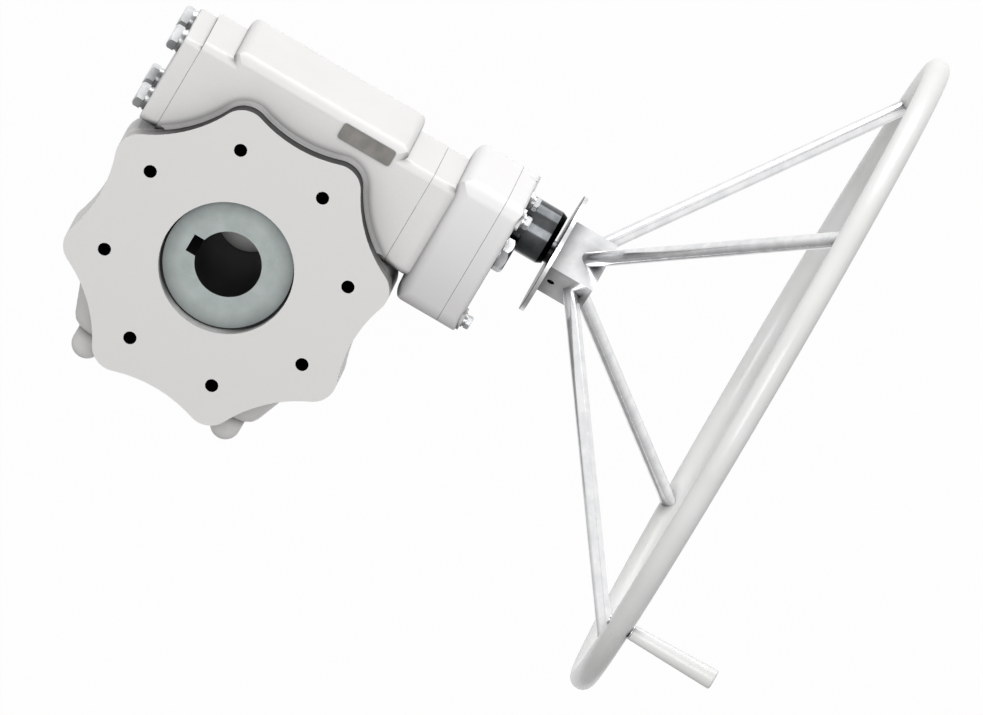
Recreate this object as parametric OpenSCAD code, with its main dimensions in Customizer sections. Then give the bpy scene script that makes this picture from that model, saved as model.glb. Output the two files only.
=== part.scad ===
/* [Valve flange] */
// Pitch circle of the flange bolts
flange_pcd = 254; // [246:1:262]
// Number of flange bolts, with one lobe over each
flange_bolts = 8; // [8:2:10]
// Tapping size of the flange holes
flange_hole_d = 13.8; // [10:0.2:18]
// Depth of the tapped flange holes
flange_hole_depth = 26; // [16:1:28]
// Thickness of the floor under the gear chamber
flange_t = 34; // [30:1:36]
// Distance from the drive axis to the tip of a lobe
lobe_tip_r = 170; // [165:0.5:175]
// Radius of the round end of a lobe
lobe_round = 26; // [24:1:32]
// Distance from the drive axis to the valley between two lobes
valley_r = 150; // [146:0.5:154]
// Height of the lobed wall above the mounting face
lobed_h = 68; // [60:1:74]
// Radius of the opening in the mounting face
opening_r = 70.5; // [70:0.5:74]

/* [Drive sleeve] */
// Bore that takes the valve stem
bore_d = 70; // [60:1:74]
// Width of the stem keyway
key_w = 20; // [14:1:24]
// Distance from the drive axis to the bottom of the keyway
key_reach = 45; // [38:0.5:48]
// Height of the sleeve's lower end above the mounting face
sleeve_recess = 14; // [10:1:18]
// Wall of the plain bush round each journal
bush_wall = 2.5; // [2:0.1:3]
// Radius of the upper journal
upper_journal_r = 60; // [56:0.5:61]
// Radius of the seat that carries the worm wheel
wheel_seat_r = 65; // [64:0.5:66]
// Radius of the collar under the worm wheel
collar_r = 80; // [78:0.5:82]
// Thickness of the collar under the worm wheel
collar_t = 8; // [6:0.5:9]
// Height of the top of the sleeve
sleeve_top_z = 184; // [183:0.5:188]

/* [Worm gearing] */
// Axial module of the worm
worm_module = 5; // [4.9:0.1:5.1]
// Teeth that a whole wheel of this pitch would have
wheel_teeth = 42; // [41:1:43]
// Pitch diameter of the worm
worm_pitch_d = 60; // [58:1:62]
// Face width of the worm wheel
wheel_face = 42; // [36:1:42]
// Height of the worm's axis above the mounting face
worm_plane = 87; // [87:0.5:90]
// Half length of the threaded part of the worm
thread_half = 48; // [44:1:54]
// Room left on each flank of the worm's thread
flank_gap = 0.2; // [0.15:0.05:0.3]
// Radius of the wheel's hub ring
wheel_hub_r = 78; // [77:0.5:78.5]
// Number of screws that hold the wheel on its collar
wheel_screws = 8; // [6:1:12]

/* [Main housing] */
// Radius of the gear chamber
chamber_r = 120; // [116:1:122]
// Wall of the drum round the gear chamber
drum_wall = 22; // [20:1:24]
// How far the rim under the top cover stands out from the drum
drum_rim_lip = 8; // [6:1:10]
// Depth of the rim under the top cover
drum_rim_t = 18; // [14:1:24]
// Half width of the square box round the worm
box_half = 68; // [66:1:70]
// Half length of the square box round the worm
box_half_len = 103; // [100:1:105]
// Rounding of the box's edges
box_round = 11; // [6:1:16]
// Radius of the chamber round the worm
worm_chamber_r = 46; // [40:1:48]
// Distance from the worm's axis to the outer side of a neck
neck_outer = 57; // [55:0.5:60]
// Distance from the worm's axis to the inner side of a neck
neck_inner = 53.5; // [52:0.5:56]
// Distance from the worm's axis to the top of a neck
neck_up = 51.5; // [51:0.5:54]
// Distance from the drive axis to the end of a neck
neck_end = 135.5; // [135:0.5:138]
// Rounding of the neck's edges
neck_round = 9; // [5:1:12]
// Radius of the cove where the flange's wall meets the underside of the box
root_cove = 5; // [3:0.5:7]

/* [Stops] */
// Distance from the drive axis to each stop screw
stop_x = 82.5; // [82:0.5:83]
// Diameter of the stop screws
stop_screw_d = 20; // [18:1:20]
// Distance from the drive axis to the wheel's stop faces
stop_face = 35; // [33:0.5:37]
// Distance from the drive axis to the end of the bosses
boss_end_y = 158; // [154:1:162]
// Radius of a boss near its outer end
boss_r = 27; // [25:1:28]
// Radius of a boss where it leaves the drum
boss_foot_r = 41; // [38:1:44]
// Diameter of the domed caps
stop_cap_d = 32; // [28:1:34]
// Length of the domed caps
stop_cap_len = 30.5; // [28:0.5:38]
// Outward travel left for setting each stop screw
stop_travel = 8; // [4:1:10]

/* [Worm bearings and end cover] */
// Outer radius of the worm bearings
worm_brg_r = 40; // [39:0.5:41]
// Radius of the worm's journals
worm_journal_r = 20; // [18:0.5:21]
// Width of the worm bearings
worm_brg_w = 18; // [16:1:20]
// Balls in each worm bearing
worm_brg_balls = 11; // [9:1:13]
// Thickness of the worm's end cover
end_cover_t = 19.5; // [14:0.5:22]
// Half width of the worm's end cover
end_cover_half = 51; // [47:0.5:52]
// Rounding of the end cover's edges
end_cover_round = 8; // [5:0.5:10]
// Half spacing of the end cover's bolts
end_bolt_half = 36; // [35.5:0.5:37]
// Thread of the end cover's bolts
end_bolt_d = 16; // [14:1:16]
// Width across flats of the end cover's bolt heads
end_bolt_af = 24; // [22:1:26]
// Height of the end cover's bolt heads
end_bolt_head = 9.4; // [8:0.1:11]

/* [Reduction stage] */
// Module of the spur gears
spur_module = 2; // [1.95:0.05:2]
// Teeth of the pinion
pinion_teeth = 15; // [14:1:16]
// Teeth of the spur gear
gear_teeth = 30; // [28:1:30]
// Face width of the spur gear
spur_face = 20; // [16:1:24]
// Sideways shift of the input axis from the worm's axis
input_shift = -15; // [-16:0.5:-14]
// Half width of the square neck between the box and the reduction box
reduction_neck_half = 52; // [51:0.5:53]
// Distance from the worm's axis to the reduction box's other three sides
reduction_half = 74; // [74:0.5:76]
// Distance from the worm's axis to the reduction box's inner side
reduction_inner = 78; // [76:0.5:80]
// Rounding of the reduction box's edges
reduction_round = 16; // [10:1:18]
// Where the reduction box begins along the worm's axis
reduction_start = 161; // [159:0.5:162]
// Where the cover meets the reduction box
reduction_joint = 213; // [212:0.5:216]
// Thickness of the reduction cover
reduction_cover_t = 21; // [19:0.5:24]
// Half spacing of the reduction cover's corner bolts
cover_bolt_half = 62; // [61:0.5:63]
// Distance from the worm's axis to the cover's side bolt
cover_side_bolt = 64.5; // [64:0.5:66]
// Height of the bosses under the cover's bolts
cover_boss_h = 2.6; // [1:0.1:4]
// Width across flats of the worm's access plug
plug_af = 34; // [30:0.5:34.4]

/* [Input shaft] */
// Diameter of the input shaft
input_d = 25; // [24:0.5:26]
// Diameter of the eccentric carrier
carrier_d = 60; // [59:0.5:60.5]
// Distance from the input axis to the carrier's centre
carrier_shift = 12.8; // [12:0.1:13.5]
// Length of the carrier outside the cover
carrier_len = 44; // [38:1:48]
// Bevel at the carrier's outer end
carrier_bevel = 6; // [2:0.5:7]

/* [Handwheel] */
// Radius of the rim's centre line
rim_r = 361; // [340:1:380]
// Diameter of the rim's tube
rim_tube_d = 25.6; // [24:0.1:30]
// Wall of the rim's tube
rim_wall = 2.6; // [2:0.1:4]
// Distance from the drive axis to the plane of the rim
rim_x = 530; // [500:1:550]
// Gap between the carrier and the disc
disc_gap = 4; // [3:0.5:6]
// Thickness of the disc
disc_t = 5; // [4:0.5:8]
// Radius of the disc
disc_r = 67; // [60:1:70]
// Width of the square hub across its flats
hub_w = 60; // [56:1:64]
// Length of the square hub
hub_len = 50; // [48:1:60]
// Diameter of the spokes
spoke_d = 16; // [14:0.5:20]
// Distance from the hub's inner end to the root of the spokes
spoke_root = 33; // [28:1:36]
// Angle of the handle round the rim, from the +Y side
handle_angle = -53.2; // [-60:0.2:-50]
// Length of the handle
handle_len = 97; // [80:1:120]
// Diameter of the handle at its root
handle_root_d = 16.5; // [15:0.5:19]
// Diameter of the handle at its free end
handle_end_d = 21.4; // [20:0.1:26]
// Diameter of the handle's pin
handle_pin_d = 10; // [8:0.5:11]

/* [Rating plate] */
// Length of the plate
plate_len = 60; // [50:1:70]
// Width of the plate
plate_w = 17.5; // [14:0.5:20]
// Thickness of the plate
plate_t = 0.8; // [0.5:0.1:1.5]
// Distance from the drive axis to the middle of the plate
plate_x = 60; // [50:1:66]
// Distance from the box's outer side to the middle of the plate
plate_inset = 18; // [16:0.5:22]
// Rounding of the plate's corners
plate_round = 2.5; // [1:0.5:4]

/* [Fits] */
// Radial room in a running fit
run_fit = 0.05; // [0.03:0.01:0.08]
// Radial room round a thread
thread_fit = 0.05; // [0.03:0.01:0.1]
// Gap between faces that pass each other
face_gap = 0.3; // [0.2:0.05:0.5]

/* [Hidden] */
$fn = 64;

// Colours of the finishes
paint = [0.86, 0.86, 0.85];
steel = [0.62, 0.62, 0.63];
dark_steel = [0.25, 0.26, 0.27];
bright_steel = [0.8, 0.8, 0.81];
bronze = [0.72, 0.56, 0.34];
rubber = [0.12, 0.12, 0.12];
gasket_grey = [0.45, 0.46, 0.47];

// Room round bolts, in washers and round turning shafts
bolt_room = 0.5;
washer_room = 0.3;
shaft_room = 0.2;

// Axes of the worm and of the input shaft
pressure_angle = 20;
worm_y = -(worm_module * wheel_teeth + worm_pitch_d) / 2;
worm_z = worm_plane;
spur_distance = spur_module * (pinion_teeth + gear_teeth) / 2;
input_rise = sqrt(pow(spur_distance, 2) - pow(input_shift, 2));
input_y = worm_y + input_shift;
input_z = worm_z + input_rise;
spur_line_angle = atan2(input_rise, input_shift);
spur_gap = 0.08;

// Worm and wheel
worm_lead = PI * worm_module;
worm_tip_r = worm_pitch_d / 2 + worm_module;
worm_root_r = worm_pitch_d / 2 - 1.2 * worm_module;
lead_angle = atan(worm_module / worm_pitch_d);
wheel_tip_r = worm_module * (wheel_teeth + 2) / 2;
wheel_low = worm_z - wheel_face / 2;
wheel_top = worm_z + wheel_face / 2;
wheel_screw_d = 8;
wheel_screw_r = (wheel_seat_r + wheel_hub_r) / 2;

// Flange outline
lobe_r = lobe_tip_r - lobe_round;
lobe_step = 360 / flange_bolts;
lobe_side = lobe_r * sin(lobe_step / 2);
lobe_depth = valley_r - lobe_r * cos(lobe_step / 2);
valley_round = (pow(lobe_depth, 2) + pow(lobe_side, 2) - pow(lobe_round, 2))
    / (2 * (lobe_round - lobe_depth));
valley_centre = valley_r + valley_round;
valley_half_angle = atan2(lobe_side, valley_centre - lobe_r * cos(lobe_step / 2));
lobe_half_angle = lobe_step / 2 + valley_half_angle;
cove_overlap = 0.1;

// Drum round the gear chamber
drum_r = chamber_r + drum_wall;
drum_rim_r = drum_r + drum_rim_lip;
cover_edge_r = drum_rim_r - 2;
collar_room = 4;

// Heights along the drive axis
drum_top = worm_z + box_half;
box_low = worm_z - box_half;
gasket_t = 1;
cover_low = drum_top + gasket_t;
cover_plate_t = 14;
cover_top = cover_low + cover_plate_t;
cover_hub_r = 82;
cover_hub_top = sleeve_top_z - 2;
cover_hub_low = wheel_top + 12;
cover_hub_bevel = 3;
cover_spigot_t = 10;
cover_spigot_wall = 12;
cover_rib_t = 9;
cover_bolt_r = (chamber_r + drum_rim_r) / 2;
cover_bolts = 8;
cover_bolt_d = 10;
cover_bolt_grip = 20;
cover_bolt_turn = 22.5;
journal_r = opening_r - bush_wall;
collar_low = wheel_low - collar_t;
thrust_t = 2;
chamber_boss_top = collar_low - thrust_t;
sleeve_shoulder = wheel_top + 4;
upper_bush_top = cover_top - 2;
lower_seal_z = sleeve_recess + 5;
lower_bush_low = sleeve_recess + 10;
upper_seal_z = (upper_bush_top + cover_hub_top) / 2 + 1;
seal_wire_r = 1.9;
seal_room = 4.2;
seal_depth = 4.2;

// Places along the worm's axis
worm_brg_shoulder = neck_end - 24.5;
worm_brg_inner = worm_brg_shoulder + 1;
end_gasket_t = 0.5;
end_cover_in = neck_end + end_gasket_t;
end_cover_out = end_cover_in + end_cover_t;
end_washer_t = 4.6;
end_flat_washer_t = 2;
bolt_grip = 26;
bolt_hole_depth = 30;
worm_brg_ball_r = 5.9;
worm_brg_pitch_r = (worm_brg_r + worm_journal_r) / 2;
worm_brg_middle = worm_brg_inner + worm_brg_w / 2;
race_lip = 3;

// Places of the reduction stage
reduction_neck_round = 10;
neck_side_room = 1;
neck_shaft_r = 17;
neck_shaft_room = 9;
gear_seat_r = 15;
gear_low = 182;
gear_high = gear_low + spur_face;
pinion_extra = 3;
reduction_floor = reduction_start + 13;
cavity_half = 56;
cavity_round = 26;
pinion_room = 3;
reduction_gasket_t = 0.5;
reduction_cover_in = reduction_joint + reduction_gasket_t;
reduction_cover_out = reduction_cover_in + reduction_cover_t - reduction_gasket_t;
cover_recess = 7;
cover_bolt_boss_r = 12.5;
m8_d = 8;
m8_af = 13;
m8_head = 5.5;
m8_grip = 16;
m8_hole_depth = 22;
m8_washer_r = 8;
m8_washer_t = 3.4;
m8_flat_washer_t = 1.5;
grub_len = 14;
cover_screw_seat = reduction_cover_out - m8_d - 0.5;
tail_r = 10;
tail_bush_r = 13;
input_r = input_d / 2;
input_bush_wall = 1.5;
carrier_in = reduction_cover_in + cover_recess;
carrier_out = reduction_cover_out + carrier_len;
carrier_lock_x = carrier_in + 7;
lock_screw_sink = 5;
neck_screw_half = 38;
neck_screw_d = 12;
gear_key_w = 8;
gear_key_sink = 4;
reduction_round_end = 5;
plug_thread_d = 24;
plug_collar_t = 2;
plug_head_h = 10;

// Places of the handwheel, with one spoke on each flat of its square hub
spokes = 4;
disc_x = carrier_out + disc_gap;
hub_x = disc_x + disc_t;
hub_end = hub_x + hub_len;
spoke_x = hub_x + spoke_root;
spoke_rise = rim_x - spoke_x;
spoke_run = rim_r - hub_w / 2;
spoke_slope = atan2(spoke_rise, spoke_run);
rim_tube_r = rim_tube_d / 2;
handle_x = rim_x + rim_tube_r + 1;
hub_key_w = 8;
handle_head_r = handle_pin_d / 2 + 2.5;
handle_head_t = 4;
handle_end_x = handle_x + handle_len;

// Pointer and stops
pointer_screw_d = 8;
pointer_screw_r = 49;
pointer_t = 9;
pointer_r = cover_hub_r - 6;
boss_root = 30;
boss_edge = 8;
stop_washer_t = 1.5;
stop_cap_top = 8;
stop_tip_y = stop_face + face_gap;
stop_cap_y = boss_end_y + stop_washer_t;
stop_screw_end = stop_cap_y + stop_cap_len - stop_cap_top - 1 - stop_travel;

// General shapes

module x_prism(x0, x1) translate([x0, 0, 0]) rotate([90, 0, 90]) linear_extrude(x1 - x0) children();

module x_rod(x0, x1, r) translate([x0, 0, 0]) rotate([0, 90, 0]) cylinder(r = r, h = x1 - x0);

module x_revolve() rotate([0, 90, 0]) rotate_extrude() children();

module z_rod(z0, z1, r) translate([0, 0, z0]) cylinder(r = r, h = z1 - z0);

module at_worm() translate([0, worm_y, worm_z]) children();

module at_input() translate([0, input_y, input_z]) children();

module around(count, radius, first = 0)
    for (i = [0:count - 1]) rotate([0, 0, first + i * 360 / count]) translate([radius, 0, 0]) children();

module at_corners(half) for (u = [-half, half], v = [-half, half]) translate([u, v]) children();

// Rounded rectangle about its own centre
module round_rect(w, h, r) {
    square([w - 2 * r, h], center = true);
    square([w, h - 2 * r], center = true);
    for (u = [-1, 1], v = [-1, 1]) translate([u * (w / 2 - r), v * (h / 2 - r)]) circle(r);
}

// Rounded rectangle that reaches a given distance from the axis on each side
module side_rect(outer, inner, down, up, r)
    translate([(inner - outer) / 2, (up - down) / 2]) round_rect(inner + outer, up + down, r);

// Box rounded along all its edges, from -outer to inner across the X axis
module round_box(x0, x1, outer, inner, half, r) {
    length = x1 - x0;
    width = outer + inner;
    middle = (x0 + x1) / 2;
    intersection() {
        x_prism(x0, x1) side_rect(outer, inner, half, half, r);
        translate([middle, (inner - outer) / 2, -half]) linear_extrude(2 * half)
            round_rect(length, width, r);
        translate([middle, inner, 0]) rotate([90, 0, 0]) linear_extrude(width)
            round_rect(length, 2 * half, r);
    }
}

// Hexagon head standing on z = 0, with its top corners turned off
module hex_head(af, h) {
    corner = af / sqrt(3);
    intersection() {
        cylinder(r = corner, h = h, $fn = 6);
        rotate_extrude() polygon([[0, 0], [corner + 1, 0], [corner + 1, h - 0.12 * af],
            [corner, h - 0.1 * af], [0.47 * af, h], [0, h]]);
    }
}

// Bolt whose head stands on z = 0 and whose shank points down
module hex_bolt(d, shank, af, head) {
    hex_head(af, head);
    translate([0, 0, -shank]) cylinder(r1 = d / 2 - 1, r2 = d / 2, h = 1);
    translate([0, 0, 1 - shank]) cylinder(r = d / 2, h = shank - 1);
}

// Socket screw whose head stands on z = 0 and whose shank points down
module socket_screw(d, shank) difference() {
    union() {
        cylinder(r = 0.8 * d, h = d);
        translate([0, 0, -shank]) cylinder(r = d / 2, h = shank);
    }
    translate([0, 0, d / 2]) cylinder(r = 0.46 * d, h = d, $fn = 6);
}

module ring(r_in, r_out, h) difference() {
    cylinder(r = r_out, h = h);
    translate([0, 0, -1]) cylinder(r = r_in, h = h + 2);
}

// Gear teeth

function involute(a) = tan(a) * 180 / PI - a;

function space_half_angle(r, m, z, gap) = 90 / z - involute(pressure_angle)
    + involute(acos(min(1, m * z / 2 * cos(pressure_angle) / r))) + gap / r * 180 / PI;

// Outline of one tooth space that points along +X
function space_outline(m, z, gap, steps = 4) = let (
    root = m * z / 2 - 1.25 * m,
    tip = m * z / 2 + 1.3 * m,
    radii = [for (i = [0:steps]) root + (tip - root) * i / steps],
    angles = [for (r = radii) space_half_angle(r, m, z, gap)])
    concat([for (i = [0:steps]) radii[i] * [cos(angles[i]), sin(angles[i])]],
        [for (i = [steps:-1:0]) radii[i] * [cos(angles[i]), -sin(angles[i])]]);

module spur_outline(m, z, gap, first_space) difference() {
    circle(m * (z / 2 + 1));
    for (i = [0:z - 1]) rotate(first_space + i * 360 / z) polygon(space_outline(m, z, gap));
}

// Helical thread of the worm, swept round the X axis with its middle at the origin
thread_steps = 24;
function thread_half_width(r) = worm_lead / 4 - (r - worm_pitch_d / 2) * tan(pressure_angle) - flank_gap;
function thread_section(turn) = [for (corner = [[worm_root_r - 1, -1], [worm_tip_r, -1], [worm_tip_r, 1],
    [worm_root_r - 1, 1]]) [turn * worm_lead + corner[1] * thread_half_width(corner[0]),
    corner[0] * cos(360 * turn), corner[0] * sin(360 * turn)]];

module worm_thread() {
    turns = 2 * (thread_half - worm_lead / 4) / worm_lead;
    count = floor(turns * thread_steps);
    rings = [for (i = [0:count]) thread_section((i - count / 2) / thread_steps)];
    points = [for (section = rings) for (p = section) p];
    sides = [for (i = [0:count - 1], k = [0:3]) let (a = 4 * i + k, b = 4 * i + (k + 1) % 4)
        each [[a, b, b + 4], [a, b + 4, a + 4]]];
    first = [[0, 3, 2], [0, 2, 1]];
    last = [for (face = [[0, 1, 2], [0, 2, 3]]) [for (v = face) v + 4 * count]];
    polyhedron(points = points, faces = concat(sides, first, last), convexity = 10);
}

// Main housing

module at_lobes() for (i = [0:flange_bolts - 1]) rotate((i + 0.5) * lobe_step)
    translate([lobe_r, 0]) children();

module at_valleys() for (i = [0:flange_bolts - 1]) rotate(i * lobe_step)
    translate([valley_centre, 0]) children();

// Lobes round a polygon whose long sides run through the points where lobes and valleys meet
module lobed_outline() {
    turn = lobe_step / 2 - valley_half_angle;
    difference() {
        union() {
            at_lobes() circle(lobe_round);
            polygon([for (i = [0:flange_bolts - 1], side = [-1, 1]) let (a = (i + 0.5) * lobe_step)
                lobe_r * [cos(a), sin(a)] + lobe_round * [cos(a + side * turn), sin(a + side * turn)]]);
        }
        at_valleys() circle(valley_round, $fn = 128);
    }
}

// Section of a cove whose wall stands at r, with its hollow towards larger or smaller radii
module cove_section(r, side) {
    reach = root_cove - cove_overlap;
    difference() {
        translate([side > 0 ? r - 1 : r - reach, box_low - reach]) square([reach + 1, reach + 1]);
        translate([r + side * reach, box_low - reach]) circle(root_cove);
    }
}

module cove_arc(half_angle) rotate([0, 0, -half_angle])
    rotate_extrude(angle = 2 * half_angle, $fn = 128) children();

// Cove along the flange's wall, under the flat part of the box's underside
module flange_cove() {
    flat_y = worm_y + neck_inner - neck_round;
    intersection() {
        union() {
            at_lobes() cove_arc(lobe_half_angle) cove_section(lobe_round, 1);
            at_valleys() rotate([0, 0, 180]) cove_arc(valley_half_angle) cove_section(valley_round, -1);
        }
        translate([-neck_end, flat_y - 2 * lobe_tip_r, 0]) cube([2 * neck_end, 2 * lobe_tip_r, lobed_h]);
    }
}

module stop_boss(side) at_stop(side) rotate_extrude() polygon([[0, chamber_r - boss_root],
    [boss_foot_r, chamber_r - boss_root], [boss_foot_r, chamber_r - boss_root + drum_wall],
    [boss_r, boss_end_y - boss_edge], [boss_r - 0.4 * boss_edge, boss_end_y - 0.4 * boss_edge],
    [boss_r - boss_edge, boss_end_y], [0, boss_end_y]]);

module housing_casting() {
    linear_extrude(lobed_h) lobed_outline();
    flange_cove();
    translate([0, 0, lobed_h - 1]) cylinder(r = drum_r, h = drum_top - lobed_h + 1, $fn = 128);
    translate([0, 0, drum_top - drum_rim_t]) cylinder(r = drum_rim_r, h = drum_rim_t, $fn = 128);
    at_worm() {
        round_box(-box_half_len, box_half_len, box_half, box_half, box_half, box_round);
        x_prism(-neck_end, neck_end) side_rect(neck_outer, neck_inner, box_half, neck_up, neck_round);
    }
    for (side = [-1, 1]) stop_boss(side);
}

module housing_cuts() {
    translate([0, 0, -1]) cylinder(r = opening_r, h = chamber_boss_top + 2, $fn = 128);
    translate([0, 0, lower_seal_z - seal_room / 2]) cylinder(r = journal_r + seal_depth, h = seal_room);
    translate([0, 0, flange_t]) difference() {
        cylinder(r = chamber_r, h = drum_top, $fn = 128);
        translate([0, 0, -1]) cylinder(r = collar_r + collar_room, h = chamber_boss_top - flange_t + 1);
    }
    around(flange_bolts, flange_pcd / 2, lobe_step / 2) translate([0, 0, -1])
        cylinder(r = flange_hole_d / 2, h = flange_hole_depth + 1);
    around(cover_bolts, cover_bolt_r, cover_bolt_turn) translate([0, 0, drum_top - cover_bolt_grip - 4])
        cylinder(r = cover_bolt_d / 2 + thread_fit, h = cover_bolt_grip + 5);
    at_worm() {
        x_rod(-box_half_len, box_half_len, worm_chamber_r);
        x_rod(-worm_brg_shoulder, worm_brg_shoulder, worm_tip_r + 1);
        x_rod(worm_brg_shoulder, neck_end + 1, worm_brg_r + run_fit);
        x_rod(-neck_end - 1, -worm_brg_shoulder, worm_brg_r + run_fit);
        x_prism(-neck_end - 1, bolt_hole_depth - neck_end) at_corners(end_bolt_half)
            circle(end_bolt_d / 2 + thread_fit);
        x_prism(neck_end - bolt_hole_depth, neck_end + 1) at_corners(neck_screw_half)
            circle(neck_screw_d / 2 + thread_fit);
        x_prism(neck_end, reduction_start) square(2 * (reduction_neck_half + neck_side_room), center = true);
        x_prism(-end_cover_out, -neck_end) square(2 * (end_cover_half + neck_side_room), center = true);
    }
    for (side = [-1, 1]) at_stop(side)
        z_rod(stop_face, boss_end_y + 1, stop_screw_d / 2 + thread_fit);
}

module main_housing() color(paint) difference() {
    housing_casting();
    housing_cuts();
}

// Seals and bushes of the drive sleeve

module o_ring(bore_r) rotate_extrude() translate([bore_r + seal_wire_r + run_fit, 0]) circle(seal_wire_r);

module lower_sleeve_seal() color(rubber) translate([0, 0, lower_seal_z]) o_ring(journal_r);

module upper_sleeve_seal() color(rubber) translate([0, 0, upper_seal_z]) o_ring(upper_journal_r);

module lower_sleeve_bush() color(bronze) translate([0, 0, lower_bush_low])
    ring(journal_r + run_fit, opening_r - run_fit, chamber_boss_top - lower_bush_low);

module upper_sleeve_bush() color(bronze) translate([0, 0, sleeve_shoulder + face_gap])
    ring(upper_journal_r + run_fit, upper_journal_r + bush_wall, upper_bush_top - sleeve_shoulder - face_gap);

module sleeve_thrust_washer() color(bronze) translate([0, 0, chamber_boss_top])
    ring(journal_r + 1, collar_r - 1, thrust_t - run_fit);

// Top cover

module cover_section() difference() {
    union() {
        translate([0, cover_low]) square([cover_edge_r, cover_plate_t]);
        translate([0, cover_hub_low]) square([cover_hub_r, cover_hub_top - cover_hub_low - cover_hub_bevel]);
        translate([0, cover_hub_low]) square([cover_hub_r - cover_hub_bevel, cover_hub_top - cover_hub_low]);
        translate([0, cover_low - cover_spigot_t]) square([chamber_r - run_fit, cover_spigot_t + 1]);
    }
    translate([cover_hub_r, cover_hub_low])
        square([chamber_r - cover_spigot_wall - cover_hub_r, cover_low - cover_hub_low - 1]);
    translate([0, cover_hub_low - 1])
        square([upper_journal_r + bush_wall + run_fit, upper_bush_top - cover_hub_low + 1]);
    square([upper_journal_r + shaft_room, cover_hub_top + 1]);
    translate([0, upper_seal_z - seal_room / 2]) square([upper_journal_r + seal_depth, seal_room]);
}

// Rib that runs out from the hub and ends clear of the bolt heads
module cover_rib() rotate([90, 0, 0]) linear_extrude(cover_rib_t, center = true)
    polygon([[cover_hub_r - 4, cover_top - 1], [chamber_r + 2, cover_top - 1], [chamber_r, cover_top + 1],
        [cover_hub_r - 4, cover_hub_top - 4]]);

module top_cover() color(paint) difference() {
    union() {
        rotate_extrude($fn = 128) cover_section();
        for (i = [0:cover_bolts - 1]) rotate(i * 360 / cover_bolts) cover_rib();
    }
    around(cover_bolts, cover_bolt_r, cover_bolt_turn) translate([0, 0, cover_low - 1])
        cylinder(r = cover_bolt_d / 2 + bolt_room, h = cover_plate_t + 2);
    cylinder(r = upper_journal_r + shaft_room, h = cover_hub_top + 1);
}

module top_cover_gasket() color(gasket_grey) translate([0, 0, drum_top]) difference() {
    ring(chamber_r + 1, cover_edge_r, gasket_t);
    around(cover_bolts, cover_bolt_r, cover_bolt_turn) translate([0, 0, -1])
        cylinder(r = cover_bolt_d / 2 + bolt_room, h = gasket_t + 2);
}

module top_cover_bolts() color(bright_steel) around(cover_bolts, cover_bolt_r, cover_bolt_turn)
    translate([0, 0, cover_top])
        hex_bolt(cover_bolt_d, cover_plate_t + cover_bolt_grip, 1.6 * cover_bolt_d, 0.64 * cover_bolt_d);

// Worm end cover and its bolts

module worm_end_cover() color(paint) at_worm() difference() {
    union() {
        mirror([1, 0, 0]) difference() {
            round_box(0, end_cover_out, end_cover_half, end_cover_half, end_cover_half, end_cover_round);
            x_rod(-1, end_cover_in, 2 * end_cover_half);
        }
        x_rod(-end_cover_in - 1, -worm_brg_inner - worm_brg_w - face_gap, worm_brg_r - run_fit);
    }
    x_rod(-end_cover_in - 4, -worm_brg_inner, worm_brg_pitch_r + race_lip);
    x_prism(-end_cover_out - 1, -end_cover_in + 1) at_corners(end_bolt_half)
        circle(end_bolt_d / 2 + bolt_room);
}

module end_cover_gasket() color(gasket_grey) at_worm() x_prism(-end_cover_in, -neck_end) difference() {
    round_rect(2 * end_cover_half, 2 * end_cover_half, end_cover_round);
    circle(worm_brg_r + bolt_room);
    at_corners(end_bolt_half) circle(end_bolt_d / 2 + bolt_room);
}

module end_bolt_stations(x) for (u = [-1, 1], v = [-1, 1])
    translate([x, u * end_bolt_half, v * end_bolt_half]) rotate([0, -90, 0]) children();

module end_cover_bolts() color(bright_steel) at_worm() end_bolt_stations(-end_cover_out - end_washer_t)
    hex_bolt(end_bolt_d, end_cover_t + end_washer_t + bolt_grip, end_bolt_af, end_bolt_head);

module end_cover_washers() color(steel) at_worm() end_bolt_stations(-end_cover_out) {
    ring(end_bolt_d / 2 + washer_room, end_bolt_af * 0.54, end_flat_washer_t);
    translate([0, 0, end_flat_washer_t])
        ring(end_bolt_d / 2 + washer_room, end_bolt_af / 2, end_washer_t - end_flat_washer_t);
}

// Bearings of the worm

module bearing_ring(r_in, r_out, width) x_revolve() difference() {
    translate([r_in, -width / 2]) square([r_out - r_in, width]);
    translate([worm_brg_pitch_r, 0]) circle(worm_brg_ball_r + 0.05);
}

module worm_bearing_outer(side) color(steel) at_worm() translate([side * worm_brg_middle, 0, 0])
    bearing_ring(worm_brg_pitch_r + race_lip, worm_brg_r, worm_brg_w);

module worm_bearing_inner(side) color(steel) at_worm() translate([side * worm_brg_middle, 0, 0])
    bearing_ring(worm_journal_r + run_fit, worm_brg_pitch_r - race_lip, worm_brg_w);

module worm_bearing_rear_outer() worm_bearing_outer(-1);
module worm_bearing_front_outer() worm_bearing_outer(1);
module worm_bearing_rear_inner() worm_bearing_inner(-1);
module worm_bearing_front_inner() worm_bearing_inner(1);

module worm_bearing_balls() color(bright_steel) at_worm()
    for (side = [-1, 1]) translate([side * worm_brg_middle, 0, 0]) rotate([0, 90, 0])
        around(worm_brg_balls, worm_brg_pitch_r) sphere(worm_brg_ball_r);

// Worm shaft with its gear

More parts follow.
